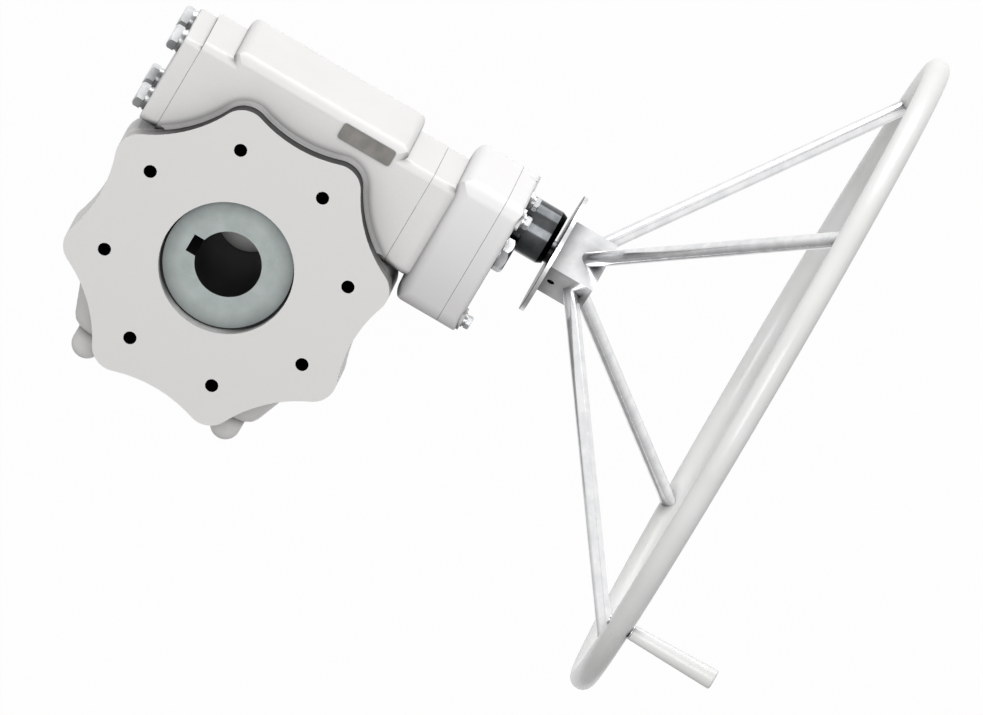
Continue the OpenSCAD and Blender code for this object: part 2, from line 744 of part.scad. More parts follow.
module worm_shaft() color(steel) at_worm() {
    difference() {
        union() {
            worm_thread();
            x_rod(-worm_brg_inner, worm_brg_inner, worm_root_r);
            x_rod(-worm_brg_inner - worm_brg_w, worm_brg_inner + worm_brg_w + 3, worm_journal_r);
            x_rod(worm_brg_inner, gear_low, neck_shaft_r);
            x_rod(gear_low - 1, gear_high + 7, gear_seat_r);
        }
        x_prism(gear_low, gear_high) translate([gear_seat_r - gear_key_sink, -gear_key_w / 2])
            square([gear_key_w, gear_key_w]);
        translate([gear_high + 0.2, 0, 0]) rotate([0, 90, 0]) ring(gear_seat_r - 1.5, gear_seat_r + 5, 2);
    }
}

module spur_gear() color(steel) at_worm() difference() {
    x_prism(gear_low, gear_high)
        spur_outline(spur_module, gear_teeth, spur_gap, spur_line_angle + 180 / gear_teeth);
    x_rod(gear_low - 1, gear_high + 1, gear_seat_r + run_fit);
    x_prism(gear_low - 1, gear_high + 1) translate([0, -gear_key_w / 2 - run_fit])
        square([gear_seat_r + 3.4, gear_key_w + 2 * run_fit]);
}

module spur_gear_key() color(steel) at_worm() x_prism(gear_low + 0.5, gear_high - 0.5)
    translate([gear_seat_r - gear_key_sink + run_fit, -gear_key_w / 2 + run_fit])
    square([7, gear_key_w - 2 * run_fit]);

module spur_gear_ring() color(dark_steel) at_worm() translate([gear_high + 0.3, 0, 0]) rotate([0, 90, 0])
    ring(gear_seat_r - 1.4, gear_seat_r + 4, 1.8);

// Reduction housing

module cavity_outline() {
    round_rect(2 * cavity_half, 2 * cavity_half, cavity_round);
    translate([input_shift, input_rise]) circle(spur_module * (pinion_teeth / 2 + 1) + pinion_room);
}

module reduction_outline(inset = 0) side_rect(reduction_half - inset, reduction_inner - inset,
    reduction_half - inset, reduction_half - inset, reduction_round);

module reduction_housing() color(paint) at_worm() difference() {
    union() {
        x_prism(neck_end, reduction_start + 6)
            round_rect(2 * reduction_neck_half, 2 * reduction_neck_half, reduction_neck_round);
        difference() {
            round_box(reduction_start, reduction_joint + reduction_half, reduction_half, reduction_inner,
                reduction_half, reduction_round);
            x_prism(reduction_joint, reduction_joint + reduction_half + 1)
                square(4 * reduction_half, center = true);
        }
        x_rod(worm_brg_inner + worm_brg_w + face_gap, neck_end + 1, worm_brg_r - run_fit);
    }
    x_prism(reduction_floor, reduction_joint + 1) cavity_outline();
    x_rod(worm_brg_inner, reduction_floor + 1, neck_shaft_r + neck_shaft_room);
    translate([0, input_shift, input_rise])
        x_rod(reduction_start + 2, reduction_floor + 1, tail_bush_r + run_fit);
    x_prism(neck_end - 1, reduction_floor + 1) at_corners(neck_screw_half)
        circle(neck_screw_d / 2 + bolt_room);
    x_prism(reduction_floor - neck_screw_d, reduction_floor + 1) at_corners(neck_screw_half)
        circle(0.8 * neck_screw_d + bolt_room);
    x_prism(reduction_joint - m8_hole_depth, reduction_joint + 1) {
        cover_bolt_places() circle(m8_d / 2 + thread_fit);
        cover_screw_places() circle(m8_d / 2 + thread_fit);
    }
}

module reduction_housing_screws() color(dark_steel) at_worm()
    for (u = [-1, 1], v = [-1, 1])
        translate([reduction_floor - neck_screw_d, u * neck_screw_half, v * neck_screw_half])
            rotate([0, 90, 0])
                socket_screw(neck_screw_d, reduction_floor - neck_screw_d - neck_end + bolt_grip);

// Places of the cover's hexagon bolts
module cover_bolt_places() {
    for (u = [-1, 1]) translate([u * cover_bolt_half, -cover_bolt_half]) children();
    translate([-cover_side_bolt, 0]) children();
}

// Places of the cover's sunk socket screws, on both sides of the carrier
module cover_screw_places()
    for (u = [-1, 1]) translate([u * cover_bolt_half, cover_bolt_half]) children();

module reduction_gasket() color(gasket_grey) at_worm()
    x_prism(reduction_joint, reduction_cover_in) difference() {
        reduction_outline();
        cavity_outline();
        cover_bolt_places() circle(m8_d / 2 + bolt_room);
        cover_screw_places() circle(m8_d / 2 + bolt_room);
    }

module cover_plate() difference() {
    round_box(0, reduction_cover_out, reduction_half, reduction_inner, reduction_half, reduction_round_end);
    x_prism(-1, reduction_cover_in) square(4 * reduction_half, center = true);
    x_prism(reduction_cover_in - 1, reduction_cover_out + 1) difference() {
        square(4 * reduction_half, center = true);
        reduction_outline();
    }
}

module reduction_cover() color(paint) at_worm() difference() {
    union() {
        cover_plate();
        x_prism(reduction_cover_out - 8, reduction_cover_out + cover_boss_h) intersection() {
            cover_bolt_places() circle(cover_bolt_boss_r);
            reduction_outline(2);
        }
    }
    x_prism(reduction_cover_in - 1, reduction_cover_in + cover_recess) cavity_outline();
    translate([0, input_shift - carrier_shift, input_rise])
        x_rod(reduction_cover_in, reduction_cover_out + cover_boss_h + 1, carrier_d / 2 + run_fit);
    x_rod(reduction_cover_in, reduction_cover_out + 1, plug_thread_d / 2 + thread_fit);
    x_prism(reduction_cover_in - 1, reduction_cover_out + cover_boss_h + 1) {
        cover_bolt_places() circle(m8_d / 2 + bolt_room);
        cover_screw_places() circle(m8_d / 2 + bolt_room);
    }
    x_prism(cover_screw_seat, reduction_cover_out + 1) cover_screw_places() circle(0.8 * m8_d + bolt_room);
    translate([carrier_lock_x, -reduction_half - 1, input_rise]) rotate([-90, 0, 0])
        cylinder(r = m8_d / 2 + thread_fit, h = reduction_half);
}

// Stands the places of a pattern, and what is at them, on the plane at x so that they point along +X
module on_x(x) translate([x, 0, 0]) rotate([90, 0, 90]) children();

module reduction_cover_bolts() color(bright_steel) at_worm()
    on_x(reduction_cover_out + cover_boss_h + m8_washer_t) cover_bolt_places() rotate([0, 0, 90])
        hex_bolt(m8_d, reduction_cover_t + cover_boss_h + m8_washer_t + m8_grip, m8_af, m8_head);

module reduction_cover_washers() color(steel) at_worm()
    on_x(reduction_cover_out + cover_boss_h) cover_bolt_places() {
        ring(m8_d / 2 + washer_room, m8_washer_r, m8_flat_washer_t);
        translate([0, 0, m8_flat_washer_t])
            ring(m8_d / 2 + washer_room, m8_af / 2 - 0.1, m8_washer_t - m8_flat_washer_t);
    }

module reduction_cover_screws() color(dark_steel) at_worm()
    on_x(cover_screw_seat) cover_screw_places()
        socket_screw(m8_d, cover_screw_seat - reduction_joint + m8_grip);

module worm_access_plug() color(steel) at_worm() translate([reduction_cover_out, 0, 0]) rotate([0, 90, 0]) {
    cylinder(r = plug_af / 2 + 1.5, h = plug_collar_t);
    translate([0, 0, plug_collar_t]) rotate([0, 0, 90]) hex_head(plug_af, plug_head_h);
    translate([0, 0, cover_recess - reduction_cover_t + 1])
        cylinder(r = plug_thread_d / 2, h = reduction_cover_t - cover_recess);
}

// Input shaft and its carrier

module input_carrier() color(dark_steel) at_input() difference() {
    translate([0, -carrier_shift, 0]) union() {
        x_rod(carrier_in, carrier_out - carrier_bevel, carrier_d / 2);
        translate([carrier_out - carrier_bevel, 0, 0]) rotate([0, 90, 0])
            cylinder(r1 = carrier_d / 2, r2 = carrier_d / 2 - carrier_bevel / 2, h = carrier_bevel);
    }
    x_rod(carrier_in - 1, carrier_out + 1, input_r + input_bush_wall + run_fit);
    translate([carrier_lock_x, -carrier_shift - carrier_d / 2 - 1, 0]) rotate([-90, 0, 0])
        cylinder(r = m8_d / 2 + thread_fit, h = lock_screw_sink + 2);
}

// Headless screw whose point stands on z = 0, with a hexagon socket in its outer end
module grub_screw(d, length) difference() {
    cylinder(r = d / 2, h = length);
    translate([0, 0, length - 0.6 * d]) cylinder(r = 0.29 * d, h = d, $fn = 6);
}

module carrier_lock_screw() color(dark_steel)
    translate([carrier_lock_x, input_y - carrier_shift - carrier_d / 2 + lock_screw_sink, input_z])
        rotate([90, 0, 0]) grub_screw(m8_d, grub_len);

module input_front_bush() color(bronze) at_input() translate([carrier_in, 0, 0]) rotate([0, 90, 0])
    ring(input_r + run_fit, input_r + input_bush_wall, carrier_out - carrier_in - 8);

module input_shaft_seal() color(rubber) at_input() translate([carrier_out - 6, 0, 0]) rotate([0, 90, 0])
    ring(input_r + run_fit, input_r + input_bush_wall, 5);

module input_tail_bush() color(bronze) at_input() translate([reduction_start + 3, 0, 0]) rotate([0, 90, 0])
    ring(tail_r + run_fit, tail_bush_r, reduction_floor - reduction_start - 3);

module input_shaft() color(bright_steel) at_input() difference() {
    union() {
        x_rod(reduction_start + 4, gear_low, tail_r);
        x_prism(gear_low - pinion_extra, gear_high + pinion_extra)
            spur_outline(spur_module, pinion_teeth, spur_gap, spur_line_angle + 180);
        x_rod(gear_high, hub_end - 2, input_r);
        x_rod(carrier_in - 6, carrier_in - face_gap, input_r + 4.5);
        x_rod(reduction_floor + face_gap, gear_low - pinion_extra, tail_r + 2.4);
    }
    x_prism(disc_x, hub_end - 1) translate([input_r - 4, -hub_key_w / 2]) square([hub_key_w, hub_key_w]);
}

// Handwheel

module handwheel_disc() color(bright_steel) at_input() difference() {
    x_rod(disc_x, hub_x, disc_r);
    x_rod(disc_x - 1, hub_x + 1, input_r + run_fit);
    x_prism(disc_x - 1, hub_x + 1) translate([0, -hub_key_w / 2 - run_fit])
        square([input_r + 3.4, hub_key_w + 2 * run_fit]);
}

module hub_block() rotate([45, 0, 0]) x_prism(hub_x, hub_end) square(hub_w, center = true);

module handwheel_hub() color(steel) at_input() difference() {
    hub_block();
    x_rod(hub_x - 1, hub_end + 1, input_r + run_fit);
    x_prism(hub_x - 1, hub_end + 1) translate([0, -hub_key_w / 2 - run_fit])
        square([input_r + 3.4, hub_key_w + 2 * run_fit]);
    set_screw_line() cylinder(r = m8_d / 2 + thread_fit, h = hub_w);
}

// Line from the shaft's surface out through the hub's lower +Y flat
module set_screw_line() translate([hub_x + 9, 0, 0]) rotate([-45, 0, 0]) rotate([-90, 0, 0]) children();

module hub_set_screw() color(dark_steel) at_input() set_screw_line() translate([0, 0, input_r + run_fit])
    grub_screw(m8_d, grub_len);

module hub_key() color(steel) at_input() x_prism(disc_x + 0.5, hub_end - 2.5)
    translate([input_r - 4 + run_fit, -hub_key_w / 2 + run_fit]) square([7, hub_key_w - 2 * run_fit]);

module rim_torus(r) translate([rim_x, 0, 0]) x_revolve() translate([rim_r, 0]) circle(r);

module spoke(i) color(bright_steel) at_input() difference() {
    rotate([45 + i * 360 / spokes, 0, 0]) translate([spoke_x, hub_w / 2, 0]) rotate([0, 0, -spoke_slope])
        translate([0, -spoke_d, 0]) rotate([-90, 0, 0])
            cylinder(r = spoke_d / 2, h = norm([spoke_rise, spoke_run]) + spoke_d);
    hub_block();
    rim_torus(rim_tube_r);
}

module spoke_1() spoke(0);
module spoke_2() spoke(1);
module spoke_3() spoke(2);
module spoke_4() spoke(3);

module at_handle() at_input() translate([0, rim_r * cos(handle_angle), rim_r * sin(handle_angle)]) children();

module handwheel_rim() color(paint) difference() {
    at_input() translate([rim_x, 0, 0]) x_revolve() translate([rim_r, 0]) difference() {
        circle(rim_tube_r);
        circle(rim_tube_r - rim_wall);
    }
    at_handle() x_rod(rim_x - rim_tube_d, rim_x + rim_tube_d, handle_pin_d / 2 + thread_fit);
}

module handle_pin() color(steel) at_handle() {
    x_rod(rim_x - rim_tube_r - 1, handle_end_x - handle_head_t - 1, handle_pin_d / 2);
    x_rod(handle_end_x - handle_head_t - 1, handle_end_x - 1, handle_head_r);
    translate([rim_x + rim_tube_r, 0, 0]) rotate([0, 90, 0])
        ring(handle_pin_d / 2 - 0.5, handle_root_d / 2, 1 - face_gap / 2);
}

module handle_grip() color(paint) at_handle() difference() {
    x_revolve() polygon([[0, handle_x + face_gap], [handle_root_d / 2, handle_x + face_gap],
        [handle_end_d / 2, handle_end_x - 6], [handle_end_d / 2, handle_end_x - 1.5],
        [handle_end_d / 2 - 1.5, handle_end_x], [0, handle_end_x]]);
    x_rod(handle_x - 1, handle_end_x, handle_pin_d / 2 + 2 * run_fit);
    x_rod(handle_end_x - handle_head_t - 1 - face_gap, handle_end_x + 1, handle_head_r + 2 * run_fit);
}

// Drive sleeve and worm wheel

module drive_sleeve() color(steel) difference() {
    union() {
        z_rod(sleeve_recess, collar_low + 1, journal_r, $fn = 128);
        z_rod(collar_low, wheel_low, collar_r);
        z_rod(wheel_low - 1, sleeve_shoulder, wheel_seat_r);
        z_rod(sleeve_shoulder - 1, sleeve_top_z, upper_journal_r);
    }
    translate([0, 0, sleeve_recess - 1]) cylinder(r = bore_d / 2, h = sleeve_top_z, $fn = 128);
    translate([-key_reach, -key_w / 2, sleeve_recess - 1]) cube([key_reach, key_w, sleeve_top_z]);
    around(wheel_screws, wheel_screw_r, 180 / wheel_screws) translate([0, 0, collar_low - 1])
        cylinder(r = wheel_screw_d / 2 + thread_fit, h = collar_t + 2);
    around(4, pointer_screw_r, 45) translate([0, 0, sleeve_top_z - 18])
        cylinder(r = pointer_screw_d / 2 + thread_fit, h = 19);
}

module wheel_blank() difference() {
    union() {
        circle(wheel_hub_r);
        intersection() {
            circle(wheel_tip_r, $fn = 128);
            translate([-2 * wheel_tip_r, -2 * wheel_tip_r]) square(2 * wheel_tip_r + stop_face);
        }
    }
    circle(wheel_seat_r + run_fit);
}

module worm_wheel() color(bronze) difference() {
    translate([0, 0, wheel_low]) linear_extrude(wheel_face) wheel_blank();
    for (i = [-4:15]) translate([0, 0, worm_z]) rotate([0, 0, -90 - i * 360 / wheel_teeth])
        rotate([-lead_angle, 0, 0]) linear_extrude(1.2 * wheel_face, center = true)
            polygon(space_outline(worm_module, wheel_teeth, flank_gap));
    around(wheel_screws, wheel_screw_r, 180 / wheel_screws) translate([0, 0, wheel_low - 1])
        cylinder(r = wheel_screw_d / 2 + 0.4, h = wheel_face + 2);
}

module worm_wheel_screws() color(dark_steel) around(wheel_screws, wheel_screw_r, 180 / wheel_screws)
    translate([0, 0, wheel_top]) socket_screw(wheel_screw_d, wheel_face + collar_t);

module position_pointer() color(paint) difference() {
    union() {
        z_rod(sleeve_top_z, sleeve_top_z + pointer_t - 2, pointer_r);
        translate([0, 0, sleeve_top_z + pointer_t - 2]) cylinder(r1 = pointer_r, r2 = pointer_r - 2, h = 2);
        translate([0, 0, sleeve_top_z + pointer_t - 1]) linear_extrude(5)
            polygon([[-34, -8], [34, -8], [34, -18], [66, 0], [34, 18], [34, 8], [-34, 8]]);
    }
    around(4, pointer_screw_r, 45) {
        translate([0, 0, sleeve_top_z - 1]) cylinder(r = pointer_screw_d / 2 + 0.5, h = 20);
        translate([0, 0, sleeve_top_z + pointer_t - 4]) cylinder(r = 0.8 * pointer_screw_d + 0.5, h = 20);
    }
}

module pointer_screws() color(dark_steel) around(4, pointer_screw_r, 45)
    translate([0, 0, sleeve_top_z + pointer_t - 4]) socket_screw(pointer_screw_d, pointer_t + 10);

// Stop screws and their caps

module at_stop(side) translate([side * stop_x, 0, worm_z]) rotate([-90, 0, 0]) children();

module stop_screw(side) color(dark_steel) at_stop(side) difference() {
    union() {
        translate([0, 0, stop_tip_y]) cylinder(r1 = stop_screw_d / 2 - 2, r2 = stop_screw_d / 2, h = 2);
        z_rod(stop_tip_y + 2, stop_screw_end, stop_screw_d / 2);
    }
    z_rod(stop_screw_end - 8, stop_screw_end + 1, stop_screw_d * 0.29, $fn = 6);
}

module stop_cap(side) color(paint) at_stop(side) difference() {
    union() {
        z_rod(stop_cap_y, stop_cap_y + stop_cap_len - stop_cap_d / 2, stop_cap_d / 2);
        translate([0, 0, stop_cap_y + stop_cap_len - stop_cap_d / 2]) intersection() {
            sphere(r = stop_cap_d / 2);
            cylinder(r = stop_cap_d / 2, h = stop_cap_d / 2);
        }
    }
    z_rod(stop_cap_y - 1, stop_cap_y + stop_cap_len - stop_cap_top, stop_screw_d / 2 + bolt_room);
}

module stop_screw_left() stop_screw(-1);
module stop_screw_right() stop_screw(1);
module stop_cap_left() stop_cap(-1);
module stop_cap_right() stop_cap(1);

module stop_seal_washers() color(bronze) for (side = [-1, 1]) at_stop(side)
    translate([0, 0, boss_end_y]) ring(stop_screw_d / 2 + 0.3, stop_cap_d / 2 - 0.5, stop_washer_t);

// Rating plate on the underside of the worm box

module rating_plate() color(gasket_grey)
    translate([plate_x, worm_y - box_half + plate_inset, box_low - plate_t])
        linear_extrude(plate_t) round_rect(plate_len, plate_w, plate_round);

main_housing();
top_cover();
top_cover_gasket();
top_cover_bolts();
lower_sleeve_bush();
upper_sleeve_bush();
lower_sleeve_seal();
upper_sleeve_seal();
sleeve_thrust_washer();
worm_end_cover();
end_cover_gasket();
end_cover_bolts();
end_cover_washers();
worm_bearing_rear_outer();
worm_bearing_front_outer();
reduction_housing();
reduction_housing_screws();
reduction_gasket();
reduction_cover();
reduction_cover_bolts();
reduction_cover_washers();
reduction_cover_screws();
worm_access_plug();
input_carrier();
carrier_lock_screw();
input_front_bush();
input_tail_bush();
input_shaft_seal();
rating_plate();
stop_cap_left();
stop_cap_right();
stop_seal_washers();
stop_screw_left();
stop_screw_right();
worm_shaft();
worm_bearing_rear_inner();
worm_bearing_front_inner();
worm_bearing_balls();
spur_gear();
spur_gear_key();
spur_gear_ring();
drive_sleeve();
worm_wheel();
worm_wheel_screws();
position_pointer();
pointer_screws();
input_shaft();
hub_key();
handwheel_disc();
handwheel_hub();
hub_set_screw();
spoke_1();
spoke_2();
spoke_3();
spoke_4();
handwheel_rim();
handle_pin();
handle_grip();
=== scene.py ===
"""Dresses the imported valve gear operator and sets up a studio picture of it, seen from below its flange."""

import logging
import math
from dataclasses import dataclass
from enum import Enum
from typing import ClassVar

import bmesh
import bpy
from mathutils import Matrix, Vector

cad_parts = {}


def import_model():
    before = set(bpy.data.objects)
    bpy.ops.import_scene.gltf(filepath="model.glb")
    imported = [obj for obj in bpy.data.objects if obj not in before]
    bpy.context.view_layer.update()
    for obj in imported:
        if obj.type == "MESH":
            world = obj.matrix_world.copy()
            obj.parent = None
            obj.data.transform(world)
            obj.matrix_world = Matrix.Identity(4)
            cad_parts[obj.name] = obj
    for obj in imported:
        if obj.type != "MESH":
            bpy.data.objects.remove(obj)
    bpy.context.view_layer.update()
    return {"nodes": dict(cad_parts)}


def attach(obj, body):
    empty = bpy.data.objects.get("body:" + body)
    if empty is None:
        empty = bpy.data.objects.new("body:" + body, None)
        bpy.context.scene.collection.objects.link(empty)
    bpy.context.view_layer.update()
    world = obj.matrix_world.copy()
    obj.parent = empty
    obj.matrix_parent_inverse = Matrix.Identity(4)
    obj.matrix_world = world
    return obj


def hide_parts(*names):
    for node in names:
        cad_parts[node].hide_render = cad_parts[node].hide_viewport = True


LOG = logging.getLogger("valve_gear_operator")
MM = 0.001
PAINT_IOR = 1.5
# Two places closer than this, in metres, count as one
SAME_PLACE = 1e-6
# Faces larger than this, in square metres, are flat ones and are shaded flat
FLAT_AREA = 3.0e-4
# Share of a cast block's length that only its long edges have
LONG_SHARE = 0.9
# Steps in the rounds of a cast block's long edges and of its end
EDGE_STEPS = 8
RIM_STEPS = 4
# Rays that look for a near surface in a crease
CREASE_RAYS = 12
# A face that turns to -Y, where the light falls, is spared the painted crease shade fully when its normal's Y
# is below the first, and not at all above the second
LIT_SIDE_SPAN = (-0.95, -0.6)

Value = float | tuple[float, ...] | bpy.types.NodeSocket
Place = tuple[float, float, float]


def linear(code: str) -> tuple[float, float, float, float]:
    """Turns an sRGB hex colour to linear light.

    Args:
        code: Six hex digits, such as "D9D8D5".

    Returns:
        Red, green and blue in linear light, with an alpha of 1.
    """
    levels = [int(code[i : i + 2], 16) / 255 for i in (0, 2, 4)]
    light = [v / 12.92 if v <= 0.04045 else ((v + 0.055) / 1.055) ** 2.4 for v in levels]
    return light[0], light[1], light[2], 1.0


def per_metre(size_mm: float) -> float:
    """Gives the texture scale whose pattern repeats about every size_mm millimetres."""
    return 1.0 / (size_mm * MM)


def add_node(
    tree: bpy.types.NodeTree, kind: str, inputs: dict[str | int, Value] | None = None, **settings: object
) -> bpy.types.Node:
    """Adds one node with its settings and links.

    Args:
        tree: The node tree that takes the node.
        kind: The node's type name.
        inputs: A value, or an output socket to link, for each input named or numbered here.
        settings: The node's own settings.

    Returns:
        The new node.
    """
    node = tree.nodes.new(kind)
    for name, setting in settings.items():
        setattr(node, name, setting)
    for name, value in (inputs or {}).items():
        if isinstance(value, bpy.types.NodeSocket):
            tree.links.new(value, node.inputs[name])
        else:
            node.inputs[name].default_value = value
    return node


def math_node(
    tree: bpy.types.NodeTree, operation: str, first: Value, second: Value, third: Value = 0.5
) -> bpy.types.NodeSocket:
    """Adds a Math node and gives its output.

    Args:
        tree: The node tree that takes the node.
        operation: The node's operation.
        first: Its first value or socket.
        second: Its second value or socket.
        third: Its third value or socket, for the operations that have one.

    Returns:
        The result's socket.
    """
    return add_node(tree, "ShaderNodeMath", {0: first, 1: second, 2: third}, operation=operation).outputs[0]


def parts_of(tree: bpy.types.NodeTree, vector: bpy.types.NodeSocket) -> bpy.types.bpy_prop_collection:
    """Splits a vector into its X, Y and Z sockets."""
    return add_node(tree, "ShaderNodeSeparateXYZ", {"Vector": vector}).outputs


def normal_parts(tree: bpy.types.NodeTree) -> bpy.types.bpy_prop_collection:
    """Gives the X, Y and Z sockets of the surface's own normal."""
    return parts_of(tree, add_node(tree, "ShaderNodeTexCoord").outputs["Normal"])


def ramp_node(
    tree: bpy.types.NodeTree,
    value: bpy.types.NodeSocket,
    span: tuple[float, float],
    ends: tuple[float, float],
) -> bpy.types.NodeSocket:
    """Maps one span of a value to another and holds it at the ends.

    Args:
        tree: The node tree that takes the node.
        value: The value to map.
        span: Where it starts and ends.
        ends: What comes out at those two.

    Returns:
        The mapped socket.
    """
    limits = {"From Min": span[0], "From Max": span[1], "To Min": ends[0], "To Max": ends[1]}
    return add_node(tree, "ShaderNodeMapRange", {"Value": value, **limits}).outputs["Result"]


def mix_colour(
    tree: bpy.types.NodeTree, share: Value, first: Value, second: Value, blend: str = "MIX"
) -> bpy.types.NodeSocket:
    """Mixes two colours.

    Args:
        tree: The node tree that takes the node.
        share: How much of the second colour is taken.
        first: The first colour.
        second: The second colour.
        blend: How the two are mixed.

    Returns:
        The mixed colour's socket.
    """
    inputs = {0: share, 6: first, 7: second}
    return add_node(tree, "ShaderNodeMix", inputs, data_type="RGBA", blend_type=blend).outputs[2]


def noise(
    tree: bpy.types.NodeTree,
    place: bpy.types.NodeSocket,
    size_mm: float,
    detail: float,
    roughness: float = 0.5,
) -> bpy.types.NodeSocket:
    """Adds a noise pattern.

    Args:
        tree: The node tree that takes the node.
        place: The coordinates that it follows.
        size_mm: How far apart its spots are.
        detail: How many finer layers it has.
        roughness: How strong the finer layers are.

    Returns:
        The pattern's socket, from 0 to 1.
    """
    inputs = {"Vector": place, "Scale": per_metre(size_mm), "Detail": detail, "Roughness": roughness}
    return add_node(tree, "ShaderNodeTexNoise", inputs).outputs["Fac"]


def bump(
    tree: bpy.types.NodeTree,
    height: bpy.types.NodeSocket,
    strength: float,
    deep_mm: float,
    under: bpy.types.NodeSocket | None = None,
) -> bpy.types.NodeSocket:
    """Adds a bump.

    Args:
        tree: The node tree that takes the node.
        height: The pattern that it raises.
        strength: How much of it shows.
        deep_mm: How high it is.
        under: The normal that it lies on, if it isn't the surface's own.

    Returns:
        The normal's socket.
    """
    inputs = {"Height": height, "Strength": strength, "Distance": deep_mm * MM}
    if under is not None:
        inputs["Normal"] = under
    return add_node(tree, "ShaderNodeBump", inputs).outputs["Normal"]


def link_piece(name: str, shape: bmesh.types.BMesh) -> bpy.types.Object:
    """Makes an object of a bmesh, frees the bmesh and puts the object in the scene."""
    mesh = bpy.data.meshes.new(name)
    shape.to_mesh(mesh)
    shape.free()
    piece = bpy.data.objects.new(name, mesh)
    bpy.context.scene.collection.objects.link(piece)
    return piece


def finish_shape(shape: bmesh.types.BMesh, name: str, smooth: bool = True) -> bpy.types.Object:
    """Turns a finished bmesh into a piece of the scene.

    Args:
        shape: The bmesh, in metres and in the row frame. It is freed.
        name: The piece's name.
        smooth: Whether its faces are shaded smooth.

    Returns:
        The new piece.
    """
    for face in shape.faces:
        face.smooth = smooth and face.calc_area() < FLAT_AREA
    return link_piece(name, shape)


def soften(shape: bmesh.types.BMesh, edges: list[bmesh.types.BMEdge], round_mm: float, segments: int) -> None:
    """Rounds edges.

    Args:
        shape: The bmesh that has them.
        edges: The edges.
        round_mm: Their radius.
        segments: How many steps the round has.
    """
    bmesh.ops.bevel(
        shape,
        geom=edges,
        offset=round_mm * MM,
        segments=segments,
        profile=0.5,
        affect="EDGES",
        material=-1,
    )


def cast_block(
    low: Place,
    high: Place,
    edge_rounds: tuple[float, float],
    end_round: float,
    end: int,
) -> bmesh.types.BMesh:
    """Makes a block along X with rounded long edges and one rounded end.

    Args:
        low: Its lowest corner in millimetres.
        high: Its highest corner in millimetres.
        edge_rounds: Radius of the long edge at the low corner, then of the other three, in millimetres.
        end_round: Radius round the rounded end, in millimetres.
        end: Which end is rounded, -1 or 1.

    Returns:
        The block.
    """
    shape = bmesh.new()
    bmesh.ops.create_cube(shape, size=1.0)
    size = MM * (Vector(high) - Vector(low))
    middle = MM * (Vector(high) + Vector(low)) / 2
    bmesh.ops.scale(shape, vec=size, verts=shape.verts)
    bmesh.ops.translate(shape, vec=middle, verts=shape.verts)

    def on_corner(vert: bmesh.types.BMVert) -> bool:
        """Says whether a vertex lies on one of the block's four long edges."""
        return all(abs(abs(vert.co[i] - middle[i]) - size[i] / 2) < SAME_PLACE for i in (1, 2))

    for first, offset in zip((True, False), edge_rounds):
        along = [
            edge
            for edge in shape.edges
            if abs(edge.verts[0].co.x - edge.verts[1].co.x) > LONG_SHARE * size.x
            and all(on_corner(vert) for vert in edge.verts)
            and first == (edge.verts[0].co.y < middle.y and edge.verts[0].co.z < middle.z)
        ]
        soften(shape, along, offset, EDGE_STEPS)
    tip = MM * (high[0] if end > 0 else low[0])
    rim = [edge for edge in shape.edges if all(abs(v.co.x - tip) < SAME_PLACE for v in edge.verts)]
    soften(shape, rim, end_round, RIM_STEPS)
    return shape


class Axis(Enum):
    """Directions of the row frame that a turned or drawn surface runs along."""

    X = 0
    Y = 1
    Z = 2


@dataclass(frozen=True)
class Finish:
    """What every finish shares: its name and the two colours that it varies between."""

    name: str
    colour: str
    shade: str

    def painted_crease_shade(
        self, tree: bpy.types.NodeTree, colour: bpy.types.NodeSocket, reach_mm: float, power: float
    ) -> bpy.types.NodeSocket:
        """Paints shade into the colour in creases and narrow gaps, save on the faces that turn to -Y, where
        the light falls.

        Args:
            tree: The material's node tree.
            colour: The open surface's colour.
            reach_mm: How near another surface has to be.
            power: How fast the crease darkens.

        Returns:
            The colour socket.
        """
        reach = {"Distance": reach_mm * MM}
        near = add_node(tree, "ShaderNodeAmbientOcclusion", reach, samples=CREASE_RAYS).outputs["AO"]
        deep = math_node(tree, "POWER", near, power)
        lit_side = ramp_node(tree, normal_parts(tree)["Y"], LIT_SIDE_SPAN, (1.0, 0.0))
        return mix_colour(tree, 1.0, colour, math_node(tree, "MAXIMUM", deep, lit_side), "MULTIPLY")

    def start(self) -> tuple[bpy.types.Material, bpy.types.NodeTree, bpy.types.NodeSocket]:
        """Starts the material with its shader and its coordinates.

        Returns:
            The material, its node tree, and the Object coordinates.
        """
        material = bpy.data.materials.new(self.name)
        material.use_nodes = True
        place = add_node(material.node_tree, "ShaderNodeTexCoord").outputs["Object"]
        return material, material.node_tree, place

    def blend(
        self, tree: bpy.types.NodeTree, factor: bpy.types.NodeSocket, low: float = 0.35, high: float = 0.65
    ) -> bpy.types.NodeSocket:
        """Runs between the finish's two colours.

        Args:
            tree: The material's node tree.
            factor: What the colour follows.
            low: The factor at which the shade is full.
            high: The factor at which the colour is full.

        Returns:
            The colour socket.
        """
        ramp = add_node(tree, "ShaderNodeValToRGB", {"Fac": factor})
        ramp.color_ramp.elements[0].position = low
        ramp.color_ramp.elements[0].color = linear(self.shade)
        ramp.color_ramp.elements[1].position = high
        ramp.color_ramp.elements[1].color = linear(self.colour)
        return ramp.outputs["Color"]


